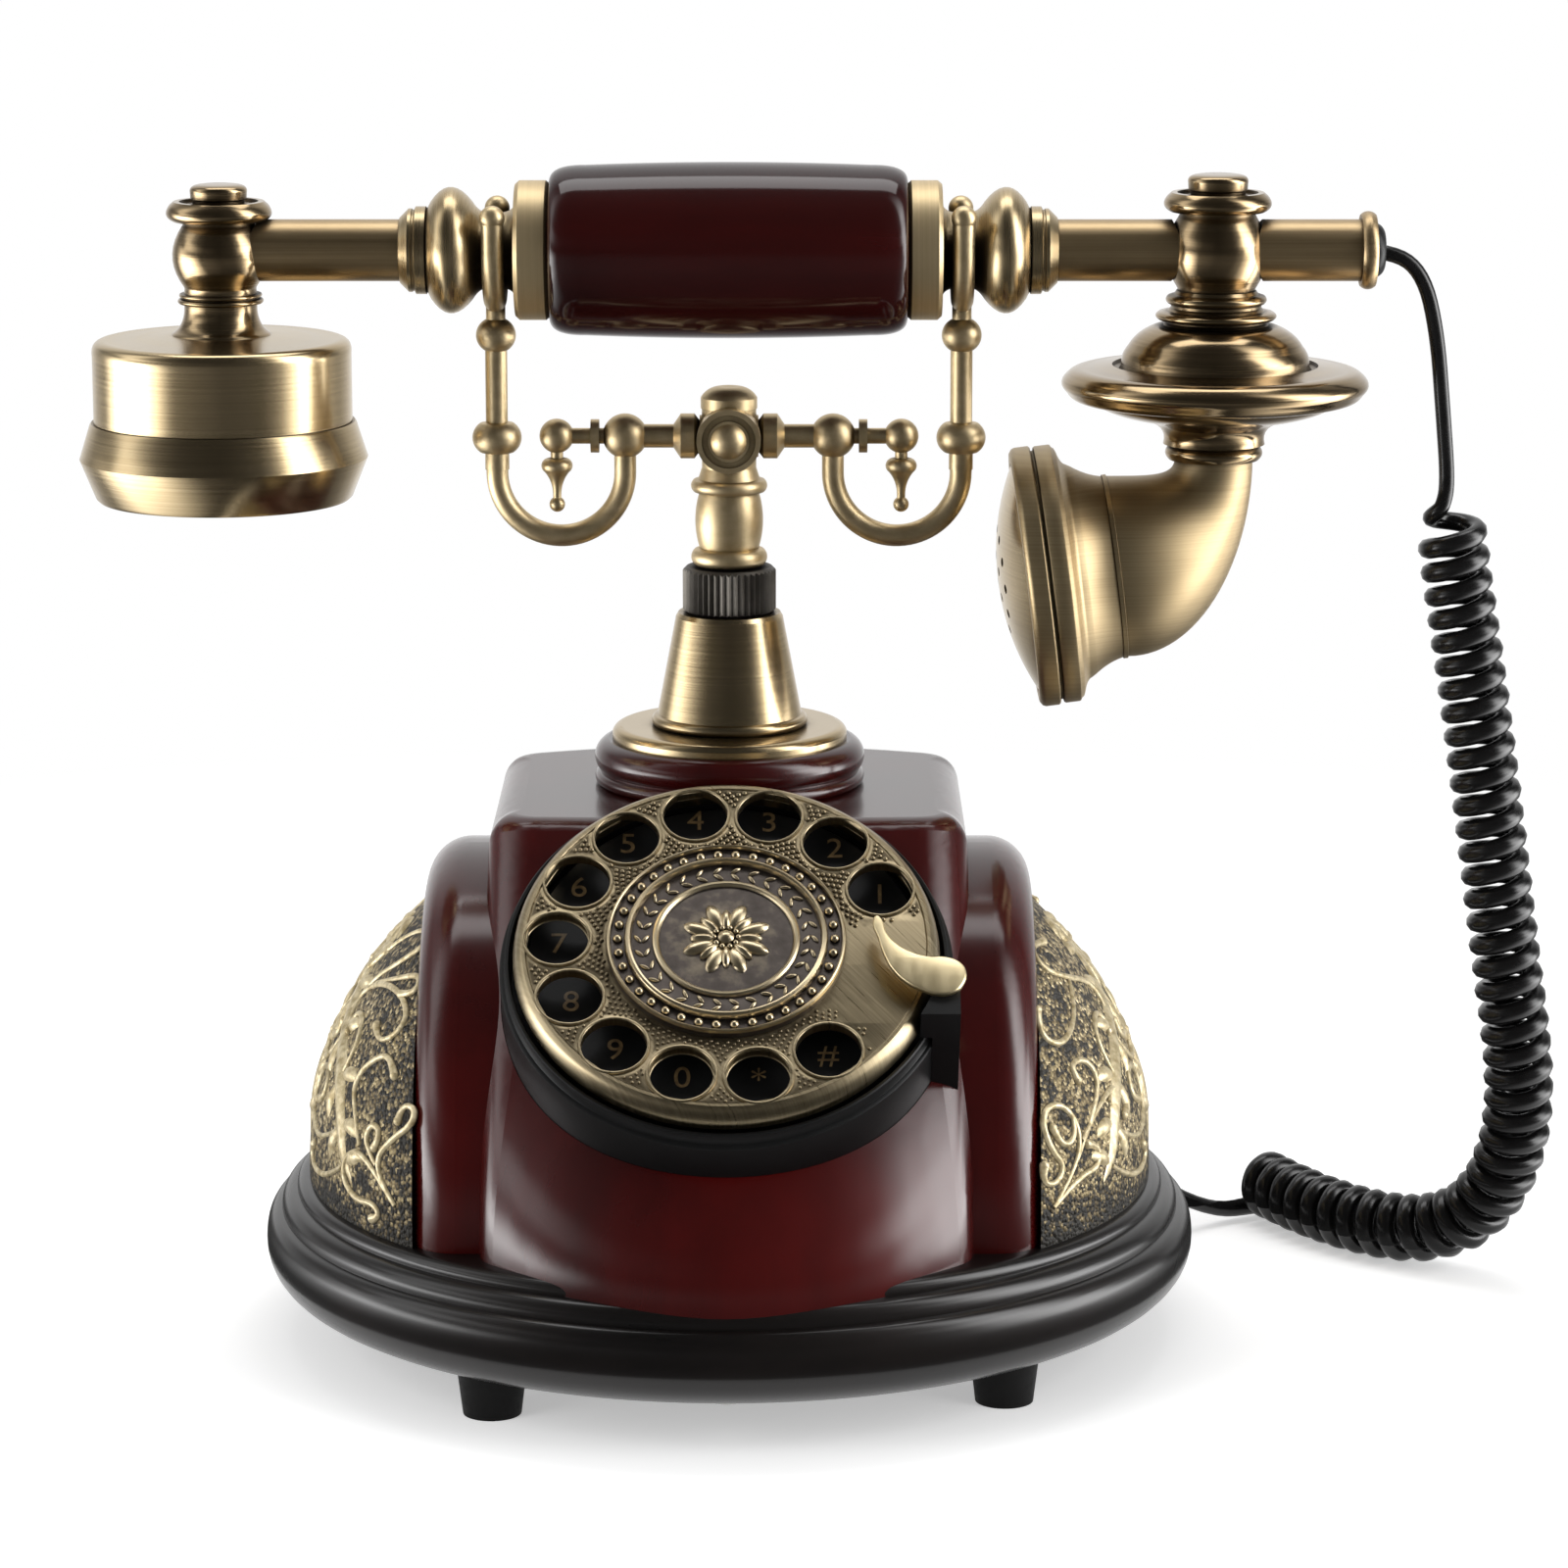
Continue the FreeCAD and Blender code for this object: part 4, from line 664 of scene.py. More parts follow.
def makeHandsetEnds():
    s = handsetSizes
    lift = Matrix.Translation(Vector((0, *s["axis"])) * mm)
    at = {end: lift @ Matrix.Translation((s[end] * mm, 0, 0)) for end in ("ear", "mouth")}
    turned = (("earJoint", "ear", jointBronze, 96, "ear_joint"),
              ("mouthBell", "mouth", jointBronze, 96, "mouth_bell"),
              ("mouthJoint", "mouth", jointBronze, 96, "mouth_joint"),
              ("earShell", "ear", antiqueBrass, 128, "ear_shell"))
    for name, end, coat, steps, node in turned:
        shape = spun(profileLine(s[name]), steps)
        piece(shape, name, coat, "handset", "antique_brass", node, place=at[end])
    caps = bmesh.new()
    for key, end in (("earCap", "ear"), ("mouthCap", "mouth")):
        addTo(caps, spun(profileLine(s[key]), 64), at[end])
    piece(caps, "jointCaps", jointBronze, "handset", "antique_brass", "joint_caps")
    necks = bmesh.new()
    for quarter in (90, -90):
        addTo(necks, spun(profileLine(s["neck"])), lift @ Matrix.Rotation(math.radians(quarter), 4, "Y"))
    piece(necks, "necks", turnedBrass, "handset", "antique_brass", "turned_necks")
    g = s["earGrid"]
    grid = flatCurve("earGrid", g["thick"], g["bevel"])
    addCircle(grid.data, 0, 0, g["radius"])
    for r, count in g["rings"]:
        for i in range(count):
            addCircle(grid.data, *polar(r, 360 * i / count), g["hole"])
    cover = solidOf(grid, g["height"])
    addTo(cover, spun(profileLine(s["earCover"]), 128))
    piece(cover, "earCover", antiqueBrass, "handset", "antique_brass", "ear_cover", place=at["ear"])
    across = lift @ Matrix.Rotation(math.radians(90), 4, "Y")
    barrel = spun(profileLine(s["grip"], 24), 128)
    piece(barrel, "gripBarrel", gripMahogany, "handset", "mahogany", "grip", place=across)
    rim = spun(profileLine(s["rim"]), 128)
    mouth = hornFrame(1 + s["horn"]["flare"])[0]
    piece(rim, "hornRim", hornBrass, "handset", "antique_brass", "horn_rim", place=mouth)


makeHorn()
makeHandsetEnds()
print("handset ends made")


# base moulding

mouldingSizes = {"r": 89.2, "bore": 66.0, "low": 9.0, "high": 31.0, "plate": 77.2, "recess": 2.0,
                 "jackHalf": 6.5, "jackLow": 11.5, "jackHigh": 22.5, "jackDeep": 68.0}


def cutJackPocket(bm, s):
    # a square opening at the back, with its walls run inwards
    half, low, high = (s[key] * mm for key in ("jackHalf", "jackLow", "jackHigh"))
    behind = (s["plate"] + 1) * mm

    def facesBehind(reach):
        middles = [(face, face.calc_center_median()) for face in bm.faces]
        return [(face, spot) for face, spot in middles if spot.y > behind and abs(spot.x) < reach]

    across, up = (1, 0, 0), (0, 0, 1)
    for spot, way in (((half, 0, 0), across), ((-half, 0, 0), across), ((0, 0, low), up), ((0, 0, high), up)):
        near = [item for face, middle in facesBehind(2 * half) for item in (face, *face.edges, *face.verts)]
        geom = list(dict.fromkeys(near))
        bmesh.ops.bisect_plane(bm, geom=geom, dist=1e-7, plane_co=spot, plane_no=way)
    inside = [face for face, middle in facesBehind(half) if low < middle.z < high]
    bmesh.ops.delete(bm, geom=inside, context="FACES")
    rim = [edge for edge in bm.edges if edge.is_boundary]
    walls = bmesh.ops.extrude_edge_only(bm, edges=rim)["geom"]
    for corner in walls:
        if isinstance(corner, bmesh.types.BMVert):
            corner.co.y = s["jackDeep"] * mm
    bmesh.ops.recalc_face_normals(bm, faces=bm.faces)


def makeMoulding():
    s = mouldingSizes
    r, floor = s["r"], s["low"] + s["recess"]
    outline = profileLine([(s["bore"], floor), (s["plate"], floor), (s["plate"], s["low"]),
                           (r - 10.0, s["low"]), (r - 2.4, s["low"] + 3.6, r, 19.0),
                           (r - 0.6, 22.8, r - 2.2, 24.6), (r - 3.0, 24.8),
                           (r - 3.6, 27.2, r - 5.4, 28.4), (r - 6.0, 28.5),
                           (r - 6.5, 30.3, r - 8.4, s["high"]),
                           (s["bore"], s["high"]), (s["bore"], floor)])
    ring = spun(outline, 240)
    cutJackPocket(ring, s)
    piece(ring, "baseMoulding", baseLacquer, "base", "base_lacquer", "base_moulding")


makeMoulding()
print("base moulding made")


# dial

dialSizes = {"place": (0, -49.6, 84.6), "tilt": 37.7, "holes": 12, "first": 24.0, "step": 25.714, "hole": 5.9,
             "pitch": 30.8, "ring": -2.2}
wheelSizes = {
    "plate": 36.5, "thick": 1.8, "bevel": 0.2, "face": 3.4, "plain": (-40, 12), "worked": (22.2, 36.4),
    "lipped": 6.9, "soft": 0.4, "low": 3.3, "high": 3.75,
    "rim": [(36.2, 2.2), (36.35, 3.3), (36.6, 3.62), (37.2, 3.62), (37.8, 3.2), (38.35, 2.4), (38.7, 1.3),
            (38.9, 0.1), (38.75, -1.1), (38.3, -1.6), (37.4, -1.6), (37.0, -1.2), (36.9, 0.2), (36.2, 2.2)],
    "lip": [(5.9, 2.6), (5.9, 3.6), (6.0, 3.74), (6.2, 3.78), (6.4, 3.72), (6.5, 3.5), (6.55, 3.2)],
    "seeds": (1200, 3500), "spread": 0.61, "seedTurn": 137.508, "sown": (22.5, 35.9), "clear": 6.95,
    "wander": 3, "pearl": (0.42, 0.1),
}
# the third tone colours the wheel's painted shade between the pearls and in the creases
wheelTones = {"deep": (0.30, 0.241, 0.146), "bright": (0.42, 0.346, 0.222), "grimeAndShade": (0.05, 0.037, 0.023)}
dialPlace = Matrix.Translation(Vector(dialSizes["place"]) * mm)
dialPlace = dialPlace @ Matrix.Rotation(math.radians(dialSizes["tilt"]), 4, "X")


def dialSpace():
    return objectSpace(place=tuple(dialPlace.translation), turn=(math.radians(dialSizes["tilt"]), 0, 0))


def dialFinish():
    s, w = dialSizes, wheelSizes
    spot = dialSpace()
    x, y, z = axes(spot, "XYZ")
    out = (x * x + y * y).math("SQRT")
    angle = y.math("ARCTAN2", x)
    first, step = math.radians(s["first"]), math.radians(s["step"])
    round_ = (angle - (first - step / 2)).math("FLOORED_MODULO", 2 * math.pi)
    local = round_.math("FLOORED_MODULO", step) - step / 2
    across = out * local.math("COSINE") - s["pitch"] * mm
    along = out * local.math("SINE")
    fromHole = (across * across + along * along).math("SQRT")
    holed = round_.span(s["holes"] * step - 0.01, s["holes"] * step, 1.0, 0.0)
    clearOfHole = fromHole.span(w["lipped"] * mm, (w["lipped"] + w["soft"]) * mm).math("MAXIMUM", 1 - holed)
    inner, outer = w["worked"]
    ringed = out.span(inner * mm, (inner + w["soft"]) * mm)
    ringed = ringed * out.span((outer - w["soft"]) * mm, outer * mm, 1.0, 0.0)
    plainFrom, plainTo = (math.radians(a) for a in w["plain"])
    edge = noise(spot, 300.0, 2.0) * 0.25
    plain = (angle + edge).span(plainFrom, plainFrom + 0.06)
    plain = plain * (angle + edge).span(plainTo + 0.1, plainTo + 0.16, 1.0, 0.0)
    worked = clearOfHole * ringed * (1 - plain)
    turned = Wire.node("ShaderNodeMapping", {"vector_type": "POINT"}, {0: spot, "Rotation": (0, 0, 0.9)})
    lined = Wire.node("ShaderNodeVectorMath", {"operation": "MULTIPLY"}, {0: turned, 1: (60, 2600, 60)})
    brush = noise(lined, 1.0, 3.0)
    # the worked ground below the pearl tops and the closed-in creases darken: painted shade between the
    # pearls and in the creases
    sunk = worked * z.span(w["low"] * mm, w["high"] * mm, 0.95, 0.0)
    paintedShade = sunk.math("MAXIMUM", creviceShade(0.002).span(0.3, 0.85))
    body = tint(brush.span(0.25, 0.75), wheelTones["deep"], wheelTones["bright"])
    return {"Base Color": tint(paintedShade, body, wheelTones["grimeAndShade"]),
            "Metallic": 1.0,
            "Roughness": brush.span(0.3, 0.7, 0.27, 0.36) + paintedShade * 0.25,
            "Normal": bump(brush, 0.00005, 0.35)}


dialBrass = finish("dialBrass", dialFinish)


def medalFinish():
    z = axes(dialSpace(), "Z")[0]
    cloud = noise(dialSpace(), 260.0, 4.0)
    raised = (z + cloud * 0.0003).span(4.72 * mm, 5.05 * mm)
    # the raised relief is gold, kept dark in its creases by painted shade
    worn = raised * (1 - creviceShade(0.0016).span(0.35, 0.9))
    ground = tint(cloud.span(0.3, 0.7), (0.085, 0.072, 0.065), (0.145, 0.125, 0.112))
    return {"Base Color": tint(worn, ground, (0.58, 0.48, 0.31)),
            "Metallic": 1.0,
            "Roughness": worn.span(0, 1, 0.42, 0.28),
            "Normal": bump(cloud, 0.00008, 0.4)}


medalBrass = finish("medalBrass", medalFinish)


stopTones = (0.74, 0.60, 0.34), (0.84, 0.71, 0.45)
stopBrass = finish("stopBrass", flecked(((700, 120, 120), 1.0, 2.0), stopTones, (0.3, 0.38), 0.00003, 0.3,
                                        more=metal))
inkTones = (0.075, 0.045, 0.017), (0.15, 0.097, 0.039)
numberInk = finish("numberInk", flecked((None, 900.0, 3.0), inkTones, (0.45, 0.6), contrast=(0.35, 0.65)))

holeTurns = [dialSizes["first"] + dialSizes["step"] * i for i in range(dialSizes["holes"])]


def makeWheel():
    s, w = dialSizes, wheelSizes
    plate = flatCurve("wheel", w["thick"], w["bevel"])
    addCircle(plate.data, 0, 0, w["plate"])
    holes = [polar(s["pitch"], turn) for turn in holeTurns]
    for x, y in holes:
        addCircle(plate.data, x, y, s["hole"])
    bm = solidOf(plate, w["face"] - w["thick"] / 2)
    addTo(bm, spun(w["rim"], 160))
    for x, y in holes:
        addTo(bm, spun(w["lip"], 48), Matrix.Translation((x * mm, y * mm, 0)))
    seed = bmesh.new()
    bmesh.ops.create_uvsphere(seed, u_segments=8, v_segments=6, radius=mm)
    pearl = settle(seed, "pearl")
    inner, outer = w["sown"]
    plainFrom, plainTo = w["plain"]
    for k in range(*w["seeds"]):  # small pearls spread like seeds
        r = w["spread"] * math.sqrt(k)
        turn = (k * w["seedTurn"]) % 360
        start = plainTo + w["wander"] * math.sin(r)
        stop = 360 + plainFrom + w["wander"] * math.cos(r)
        if not (inner < r < outer and start <= turn <= stop):
            continue
        x, y = polar(r, turn)
        if min(math.dist((x, y), hole) for hole in holes) > w["clear"]:
            size = w["pearl"][0] + w["pearl"][1] * math.sin(k * 2.4)
            place = Matrix.Translation(Vector((x, y, w["face"])) * mm)
            place = place @ Matrix.Diagonal((size, size, size, 1))
            pearl.transform(place)
            bm.from_mesh(pearl)
            pearl.transform(place.inverted())
    bpy.data.meshes.remove(pearl)
    piece(bm, "fingerWheel", dialBrass, "dial", "antique_brass", "finger_wheel", place=dialPlace)


medalSizes = {
    "profile": [
        (21.8, 3.4), (21.8, 4.9), (21.65, 5.3), (21.4, 5.42), (21.15, 5.3), (21.0, 4.9), (20.95, 4.4),
        (18.55, 4.4), (18.5, 5.3), (18.25, 5.7), (17.85, 5.85), (17.5, 5.75), (17.3, 5.3), (17.2, 4.55),
        (13.5, 4.5), (13.35, 4.95), (13.0, 5.2), (12.6, 5.2), (12.25, 4.95), (12.1, 4.55), (6.0, 4.6),
        (0.0, 4.65)],
    "beads": {"count": 38, "r": 19.72, "height": 4.5, "size": (0.92, 0.92, 0.9)},
    "leaves": {"count": 30, "rows": [(16.1, 38), (14.6, -38)], "height": 4.5, "size": (1.15, 0.42, 0.5)},
    "petals": [(5.2, 22.5, (3.3, 1.5, 0.8)), (4.2, 0, (2.5, 1.0, 1.05))],
    "petalCount": 8, "petalHeight": 4.6, "heartHeight": 4.8, "heart": (1.7, 1.7, 1.1),
    "stamens": {"count": 10, "r": 2.2, "height": 5.2, "size": (0.5, 0.5, 0.45)},
}


def makeMedal():
    s = medalSizes
    bm = spun(s["profile"], 144)

    def addBeads(count, r, height, size):
        for i in range(count):
            addBud(bm, *polar(r, 360 * i / count), height, 0, *size)

    addBeads(**s["beads"])
    leaves = s["leaves"]
    for i in range(leaves["count"]):
        bearing = 360 * i / leaves["count"]
        for r, lean in leaves["rows"]:
            turn = math.radians(bearing + 90 + lean)
            addBud(bm, *polar(r, bearing), leaves["height"], turn, *leaves["size"])
    for r, start, size in s["petals"]:
        for i in range(s["petalCount"]):
            bearing = start + 360 * i / s["petalCount"]
            addBud(bm, *polar(r, bearing), s["petalHeight"], math.radians(bearing), *size)
    addBud(bm, 0, 0, s["heartHeight"], 0, *s["heart"])
    addBeads(**s["stamens"])
    piece(bm, "medallion", medalBrass, "dial", "antique_brass", "dial_medallion", place=dialPlace)


stopSizes = {
    "thick": 1.2, "bevel": 0.35, "height": 6.8, "crease": 50,
    "outline": [
        (26.7, 2.4), (27.3, 3.4), (28.2, 2.6), (29.1, -0.6), (30.6, -2.9), (33.4, -5.0), (36.5, -6.1),
        (39.6, -6.2), (42.2, -7.4), (43.3, -9.6), (42.8, -12.2), (41.2, -14.1), (38.6, -14.8), (35.5, -13.8),
        (32.4, -11.8), (30.0, -8.9), (28.5, -5.4), (27.6, -1.9)],
}


def makeStop():
    s = stopSizes
    blade = flatCurve("stop", s["thick"], s["bevel"])
    addOutline(blade.data, s["outline"])
    bm = solidOf(blade, s["height"])
    piece(bm, "fingerStop", stopBrass, "base", "relief_gold", "finger_stop", place=dialPlace,
          crease=s["crease"])


digitSizes = {"marks": "1234567890*#", "size": 6.6, "thick": 0.04, "rise": 3.2}


def makeDigits():
    s = digitSizes
    bm = bmesh.new()
    for mark, turn in zip(s["marks"], holeTurns):
        words = bpy.data.curves.new("digit", "FONT")
        words.body = mark
        words.size = s["size"] * mm
        words.extrude = s["thick"] * mm
        words.align_x = "CENTER"
        words.align_y = "CENTER"
        made = bpy.data.objects.new("digit", words)
        scene.collection.objects.link(made)
        mesh = takeMesh(made, "digit")
        x, y = polar(dialSizes["pitch"], turn)
        spot = Vector((x, y + s["rise"], dialSizes["ring"] + s["thick"]))
        mesh.transform(Matrix.Translation(spot * mm))
        bm.from_mesh(mesh)
        bpy.data.meshes.remove(mesh)
    piece(bm, "dialDigits", numberInk, "base", "number_ink", place=dialPlace)


housingSizes = {
    "bowl": [(39.6, -16), (39.6, -1.2), (39.8, -0.9), (40.3, -0.8), (40.55, -1.0), (40.6, -3.0),
             (40.75, -3.3), (41.2, -3.4), (41.45, -3.6), (41.5, -4.0), (41.5, -16), (39.6, -16)],
    "inner": 21.0, "outer": 36.6, "foot": -8.2, "bevel": 0.4,
}


def makeHousing():
    s = housingSizes
    bowl = spun(s["bowl"], 160)
    piece(bowl, "dialHousing", blackPlastic, "base", "black_plastic", "dial_housing", place=dialPlace)
    inner, outer, foot, top = s["inner"], s["outer"], s["foot"], dialSizes["ring"]
    ring = spun([(inner, foot), (inner, top - s["bevel"]), (inner + 0.5, top), (outer - s["bevel"], top),
                 (outer, top - s["bevel"]), (outer, foot), (inner, foot)], 128)
    piece(ring, "numberRing", blackPlastic, "base", "black_plastic", place=dialPlace)


makeHousing()
makeWheel()
makeMedal()
makeStop()
makeDigits()
print("dial made")


# scrolls on the domes

domeSizes = {
    "radius": 80.8, "middle": 33.0, "rise": 71.0, "vine": 0.66, "bough": 2.8, "sunk": -1.85,
    "leaf": 1.9, "leafLong": 10.0, "leafSunk": -0.95, "leafSwell": (0.35, 0.85, 1.0, 0.75, 0.15),
    "panel": (44, 54, 0.94), "foot": 35,
    "boughs": [[(0, 80), (-1, 74), (-5, 67), (-12, 61), (-19, 55), (-24, 48), (-27, 41), (-33, 36)],
               [(0, 35), (0, 42), (0, 49), (0, 56), (0, 63)]],
    "middles": [
        [(-24, 47), (-17, 42), (-10, 43), (-6, 48), (-8, 54), (-13, 54), (-14, 49), (-11, 48)],
        [(-5, 67), (-2, 63), (-4, 58), (-8, 59), (-8, 62)],
        [(-12, 61), (-9, 56), (-4, 53), (-2, 57)],
        [(-19, 55), (-21, 61), (-17, 66), (-13, 65), (-14, 62)],
        [(-27, 41), (-22, 37), (-15, 35.5), (-11, 38), (-13, 40)]],
    "left": [
        [(-41, 38), (-38, 41), (-34, 44), (-30, 45), (-27, 42), (-28, 38), (-32, 36), (-36, 37), (-38, 35),
         (-36, 34)],
        [(-41, 38), (-37, 42), (-36, 46), (-39, 50), (-42, 53), (-42, 56), (-39, 56), (-39, 53)],
        [(-36, 44), (-32, 47), (-33, 51), (-36, 50), (-35, 47)],
        [(-31, 46), (-26, 53), (-25, 57), (-28, 61), (-32, 63), (-35, 60)],
        [(-27, 42), (-23, 55), (-12, 62), (-9, 68), (-17, 72), (-27, 72), (-32, 69), (-30, 65), (-26, 64),
         (-24, 66)],
        [(-9, 64), (-10, 70), (-18, 76), (-22, 80), (-17, 82), (-7, 77), (-3, 71)],
        [(-14, 71), (-22, 74), (-28, 76), (-30, 73), (-26, 72)]],
    "right": [
        [(-42, 38), (-36, 44), (-34, 50), (-36, 55), (-40, 56), (-42, 53), (-41, 48), (-39, 45), (-41, 42),
         (-44, 43), (-43, 46)],
        [(-35, 53), (-35, 49), (-39, 48), (-40, 52)],
        [(-42, 38), (-36, 42), (-31, 42), (-30, 46), (-33, 47)],
        [(-36, 45), (-29, 52), (-25, 57), (-27, 61), (-32, 61), (-31, 58)],
        [(-34, 48), (-27, 53), (-19, 54), (-17, 50), (-20, 48)],
        [(-24, 52), (-15, 59), (-8, 65), (-9, 70), (-18, 73), (-24, 76), (-22, 80), (-16, 79)],
        [(-17, 73), (-22, 68), (-31, 64), (-36, 67), (-33, 71)]],
}


def domePoint(side, turn, height, lift):
    s = domeSizes
    reach = s["radius"] * math.sqrt(1 - ((height - s["middle"]) / s["rise"]) ** 2)
    flat = Vector((side * math.cos(math.radians(turn)), math.sin(math.radians(turn)), 0))
    spot = flat * reach + Vector((0, 0, height))
    out = flat * (reach / s["radius"] ** 2) + Vector((0, 0, (height - s["middle"]) / s["rise"] ** 2))
    return (spot + out.normalized() * lift) * mm


def onPanel(turn, height):
    wide, high, share = domeSizes["panel"]
    inside = (turn / wide) ** 2 + ((height - domeSizes["middle"]) / high) ** 2 < share
    return inside and height > domeSizes["foot"]


def leavesOf(stroke):
    # pairs of leaves that spring from a bough and bend back along it
    s = domeSizes
    found = []
    for (turn, height), (turn2, height2) in zip(stroke, stroke[1:]):
        wide = math.radians(1) * s["radius"]  # millimetres in a degree
        ahead = Vector(((turn2 - turn) * wide, height2 - height)).normalized()
        for way in (1, -1) if turn or turn2 else (1,):  # the stem's other side comes from the mirror
            spot = Vector((turn * wide, height))
            leaf = []
            for lean in (70, 58, 44, 28, 10):
                leaf.append((spot.x / wide, spot.y))
                a = math.radians(way * lean)
                spot = spot + Matrix.Rotation(a, 2) @ ahead * (s["leafLong"] / 4)
            if all(onPanel(x, z) for x, z in leaf):
                found.append(leaf)
    return found


def makeScrolls(name, side):
    s = domeSizes
    bm = bmesh.new()
    vines = s[name] + s["middles"]
    boughs = s["boughs"]
    leaves = [leaf for stroke in boughs for leaf in leavesOf(stroke)]
    kinds = ((vines, s["vine"], 0.0, 4, None), (boughs, s["bough"], s["sunk"], 8, None),
             (leaves, s["leaf"], s["leafSunk"], 5, s["leafSwell"]))
    for strokes, bevel, lift, rounds, swell in kinds:
        runs = []
        for stroke in strokes:
            last = len(stroke) - 1
            ends = [1.4] if strokes is vines else [0.6]
            radii = swell or [0.7 + 0.35 * math.sin(math.pi * i / last) for i in range(last)] + ends
            for flip in (1, -1) if any(turn for turn, height in stroke) else (1,):
                points = [domePoint(side, turn * flip, height, lift) for turn, height in stroke]
                runs.append((points, radii))
                if strokes is vines:
                    addBud(bm, *(points[-1] / mm), 0, 1.0, 1.0, 1.0)  # a round end to each curl
        mesh = takeMesh(routeCurve("strokes", runs, bevel * mm, rounds), "strokes")
        bm.from_mesh(mesh)
        bpy.data.meshes.remove(mesh)
    piece(bm, name + "Scrolls", scrollGold, "base", "relief_gold")


def scrollFinish():
    fleck = noise(objectSpace(), 620.0, 4.0)
    patch = noise(objectSpace(), 60.0, 3.0)
    # darker in crevices, patina and painted shade, and in patches of dirt
    dark = creviceShade(0.0028).span(0.3, 0.75) * 0.9
    body = tint(fleck.span(0.3, 0.65), (0.36, 0.28, 0.14), (0.76, 0.65, 0.42))
    grimeAndShade = dark.math("MAXIMUM", patch.span(0.62, 0.82, 0.0, 0.45))
    return {"Base Color": tint(grimeAndShade, body, (0.03, 0.022, 0.012)),
            "Metallic": 0.5,
            "Roughness": fleck.span(0.3, 0.7, 0.5, 0.34),
            "Normal": bump(fleck, 0.0003, 0.6)}


scrollGold = finish("scrollGold", scrollFinish)
makeScrolls("left", -1)
makeScrolls("right", 1)
print("scrolls made")


# floor, light and background

studioSizes = {
    "floor": 3.0, "ambient": 0.5, "sides": 6.0, "above": 3.8, "tent": 2.2, "glow": 9.0,
    # brightness at each bearing, on the ground and in three bands of the walls, which are alike at the back
    "ground": [
        (-180, 0.12), (-150, 0.1), (-118, 0.03), (-106, 0.4), (-96, 1.0), (-74, 0.9), (-58, 0.3),
        (-46, 0.03), (0, 0.011), (40, 0.013), (58, 0.05), (72, 0.3), (84, 1.0), (104, 0.9), (117, 0.08),
        (135, 0.05), (165, 0.11), (180, 0.12)],
    "backLeft": [(-180, 0.11), (-150, 0.1)], "backRight": [(142, 0.08), (165, 0.11), (180, 0.11)],
    "level": [
        (-125, 0.04), (-112, 0.1), (-103, 0.25), (-92, 0.22), (-80, 0.08), (-66, 0.02), (-45, 0.006),
        (0, 0.003), (44, 0.006), (60, 0.05), (68, 0.6), (78, 1.0), (98, 0.9), (107, 0.06), (125, 0.015)],
    "high": [
        (-132, 0.03), (-99, 0.04), (-92, 0.22), (-76, 0.24), (-64, 0.13), (-52, 0.04), (-38, 0.012),
        (0, 0.004), (38, 0.008), (48, 0.03), (57, 0.2), (66, 0.8), (78, 1.0), (89, 0.6), (97, 0.04),
        (118, 0.01)],
    "top": [
        (-125, 0.04), (-110, 0.08), (-102, 0.2), (-88, 0.2), (-75, 0.06), (-60, 0.015), (-40, 0.006),
        (0, 0.004), (42, 0.008), (57, 0.05), (66, 0.6), (74, 0.8), (88, 0.5), (98, 0.03), (118, 0.01)],
    "bands": [("level", 0.0, 0.3), ("high", 0.45, 0.65), ("top", 0.9, 1.1)],
    "near": (0.12, 0.5), "roof": (1.5, 2.15), "behind": (0.2, 1.2), "dim": (0.005, 0.005, 0.005),
    "rise": 0.005, "eye": 0.1,
}


def softbox(name, place, aim, width, height, power, mirrored):
    lamp = bpy.data.lights.new(name, "AREA")
    lamp.shape = "RECTANGLE"
    lamp.size = width
    lamp.size_y = height
    lamp.energy = power
    made = bpy.data.objects.new(name, lamp)
    made.location = place
    made.rotation_euler = (Vector(aim) - Vector(place)).to_track_quat("-Z", "Y").to_euler()
    made.visible_glossy = mirrored
    scene.collection.objects.link(made)


softbox("leftBox", (-0.85, -0.62, 0.42), (0, 0, 0.12), 0.55, 1.0, studioSizes["sides"], False)
softbox("rightBox", (0.92, -0.55, 0.42), (0, 0, 0.12), 0.5, 1.0, studioSizes["sides"], False)
softbox("topBox", (0, 0.28, 1.1), (0, 0, 0.1), 0.9, 0.4, studioSizes["above"], True)


def rayKinds():
    path = Wire.tree.nodes.new("ShaderNodeLightPath")
    seen = Wire(path.outputs["Is Camera Ray"])
    for kind in ("Is Glossy Ray", "Is Transmission Ray"):
        seen = seen.math("MAXIMUM", Wire(path.outputs[kind]))
    return seen


def lightWorld():
    world = bpy.data.worlds.new("studio")
    scene.world = world
    world.use_nodes = True
    Wire.tree = world.node_tree
    back = world.node_tree.nodes["Background"]
    back.inputs["Color"].default_value = (1, 1, 1, 1)
    Wire.plug(back.inputs["Strength"], rayKinds().span(0, 1, studioSizes["ambient"], 1.0))


lightWorld()


def paleFloor():
    grain = noise(objectSpace(), 30.0, 2.0)
    away = Wire.node("ShaderNodeVectorMath", {"operation": "LENGTH"}, {0: objectSpace()}, "Value")
    clear = away.span(0.10, 0.55)
    return {"Base Color": tint(clear, tint(grain, (0.90, 0.90, 0.90), (0.91, 0.91, 0.91)), (0, 0, 0)),
            "Roughness": 0.9,
            "Specular IOR Level": 0.0,
            "Emission Color": tint(clear, (0.4, 0.4, 0.4), (1, 1, 1)),
            "Emission Strength": 1.0}


def stagePiece(bm, name, coat):
    mesh = bpy.data.meshes.new(name)
    bm.to_mesh(mesh)
    bm.free()
    mesh.materials.append(coat)
    made = bpy.data.objects.new(name, mesh)
    scene.collection.objects.link(made)
    return made


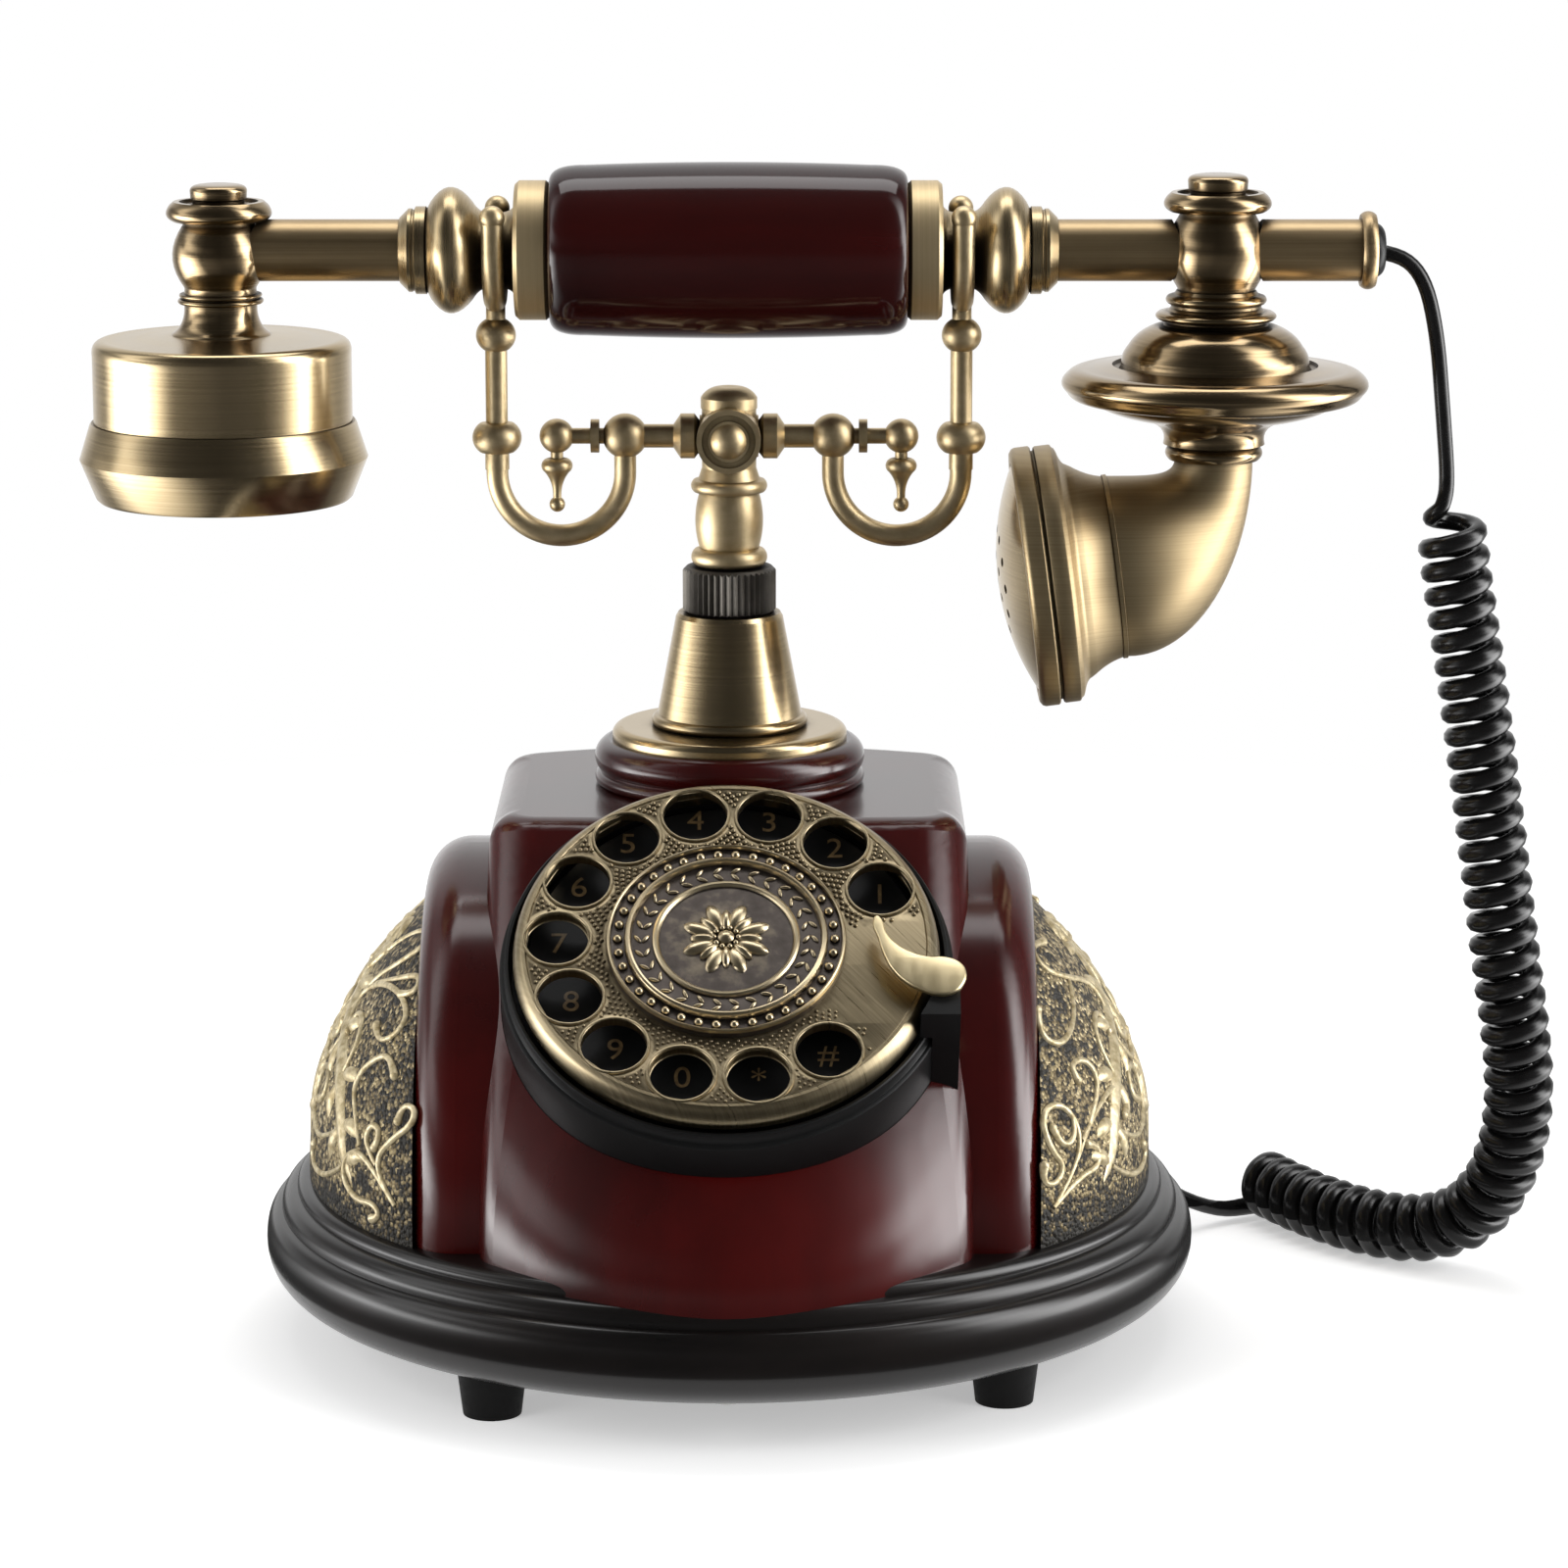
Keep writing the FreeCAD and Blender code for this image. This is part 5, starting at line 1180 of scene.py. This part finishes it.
def makeFloor():
    bm = bmesh.new()
    bmesh.ops.create_grid(bm, x_segments=8, y_segments=8, size=studioSizes["floor"])
    stagePiece(bm, "floor", finish("paleFloor", paleFloor))


makeFloor()


def tentCloth():
    s = studioSizes
    made = bpy.data.materials.new("tentCloth")
    made.use_nodes = True
    Wire.tree = made.node_tree
    made.node_tree.nodes.remove(made.node_tree.nodes["Principled BSDF"])
    x, y, z = axes(objectSpace(), "XYZ")
    around = x.math("ARCTAN2", y * -1) / (2 * math.pi) + 0.5
    everywhere = None
    for band, low, high in [("ground", 0, 0)] + s["bands"]:
        walls = s[band] if band == "ground" else s["backLeft"] + s[band] + s["backRight"]
        stops = [(bearing / 360 + 0.5, (amount,) * 3) for bearing, amount in walls]
        panel = Wire.node("ShaderNodeValToRGB", {"stops": stops}, {0: around})
        everywhere = tint(z.span(low, high), everywhere, panel) if everywhere else panel
    near = (x * x + y * y).math("SQRT").span(*s["near"])
    lit = (z.span(*s["roof"], 1.0, 0.0) * near).math("MAXIMUM", y.span(*s["behind"]))
    light = {"Color": tint(lit, s["dim"], everywhere), "Strength": s["glow"]}
    glow = Wire.node("ShaderNodeEmission", None, light)
    Wire.plug(made.node_tree.nodes["Material Output"].inputs["Surface"], glow)
    return made


def makeTent():
    # panels of light and dark round the stage that only reflections see
    s = studioSizes
    bm = bmesh.new()
    bmesh.ops.create_uvsphere(bm, u_segments=96, v_segments=32, radius=s["tent"])
    everything = bm.verts[:] + bm.edges[:] + bm.faces[:]
    lift = Matrix.Translation((0, 0, s["rise"]))
    bmesh.ops.bisect_plane(bm, geom=everything, plane_co=lift.translation, plane_no=(0, 0, 1),
                           clear_inner=True)
    ring = [e for e in bm.edges if e.is_boundary]
    inner = bmesh.ops.create_circle(bm, segments=96, radius=s["eye"], matrix=lift)["verts"]
    bmesh.ops.bridge_loops(bm, edges=ring + list(dict.fromkeys(e for v in inner for e in v.link_edges)))
    tent = stagePiece(bm, "tent", tentCloth())
    for ray in ("camera", "diffuse", "transmission", "volume_scatter", "shadow"):
        setattr(tent, "visible_" + ray, False)


makeTent()
print("studio set")

bpy.context.view_layer.update()
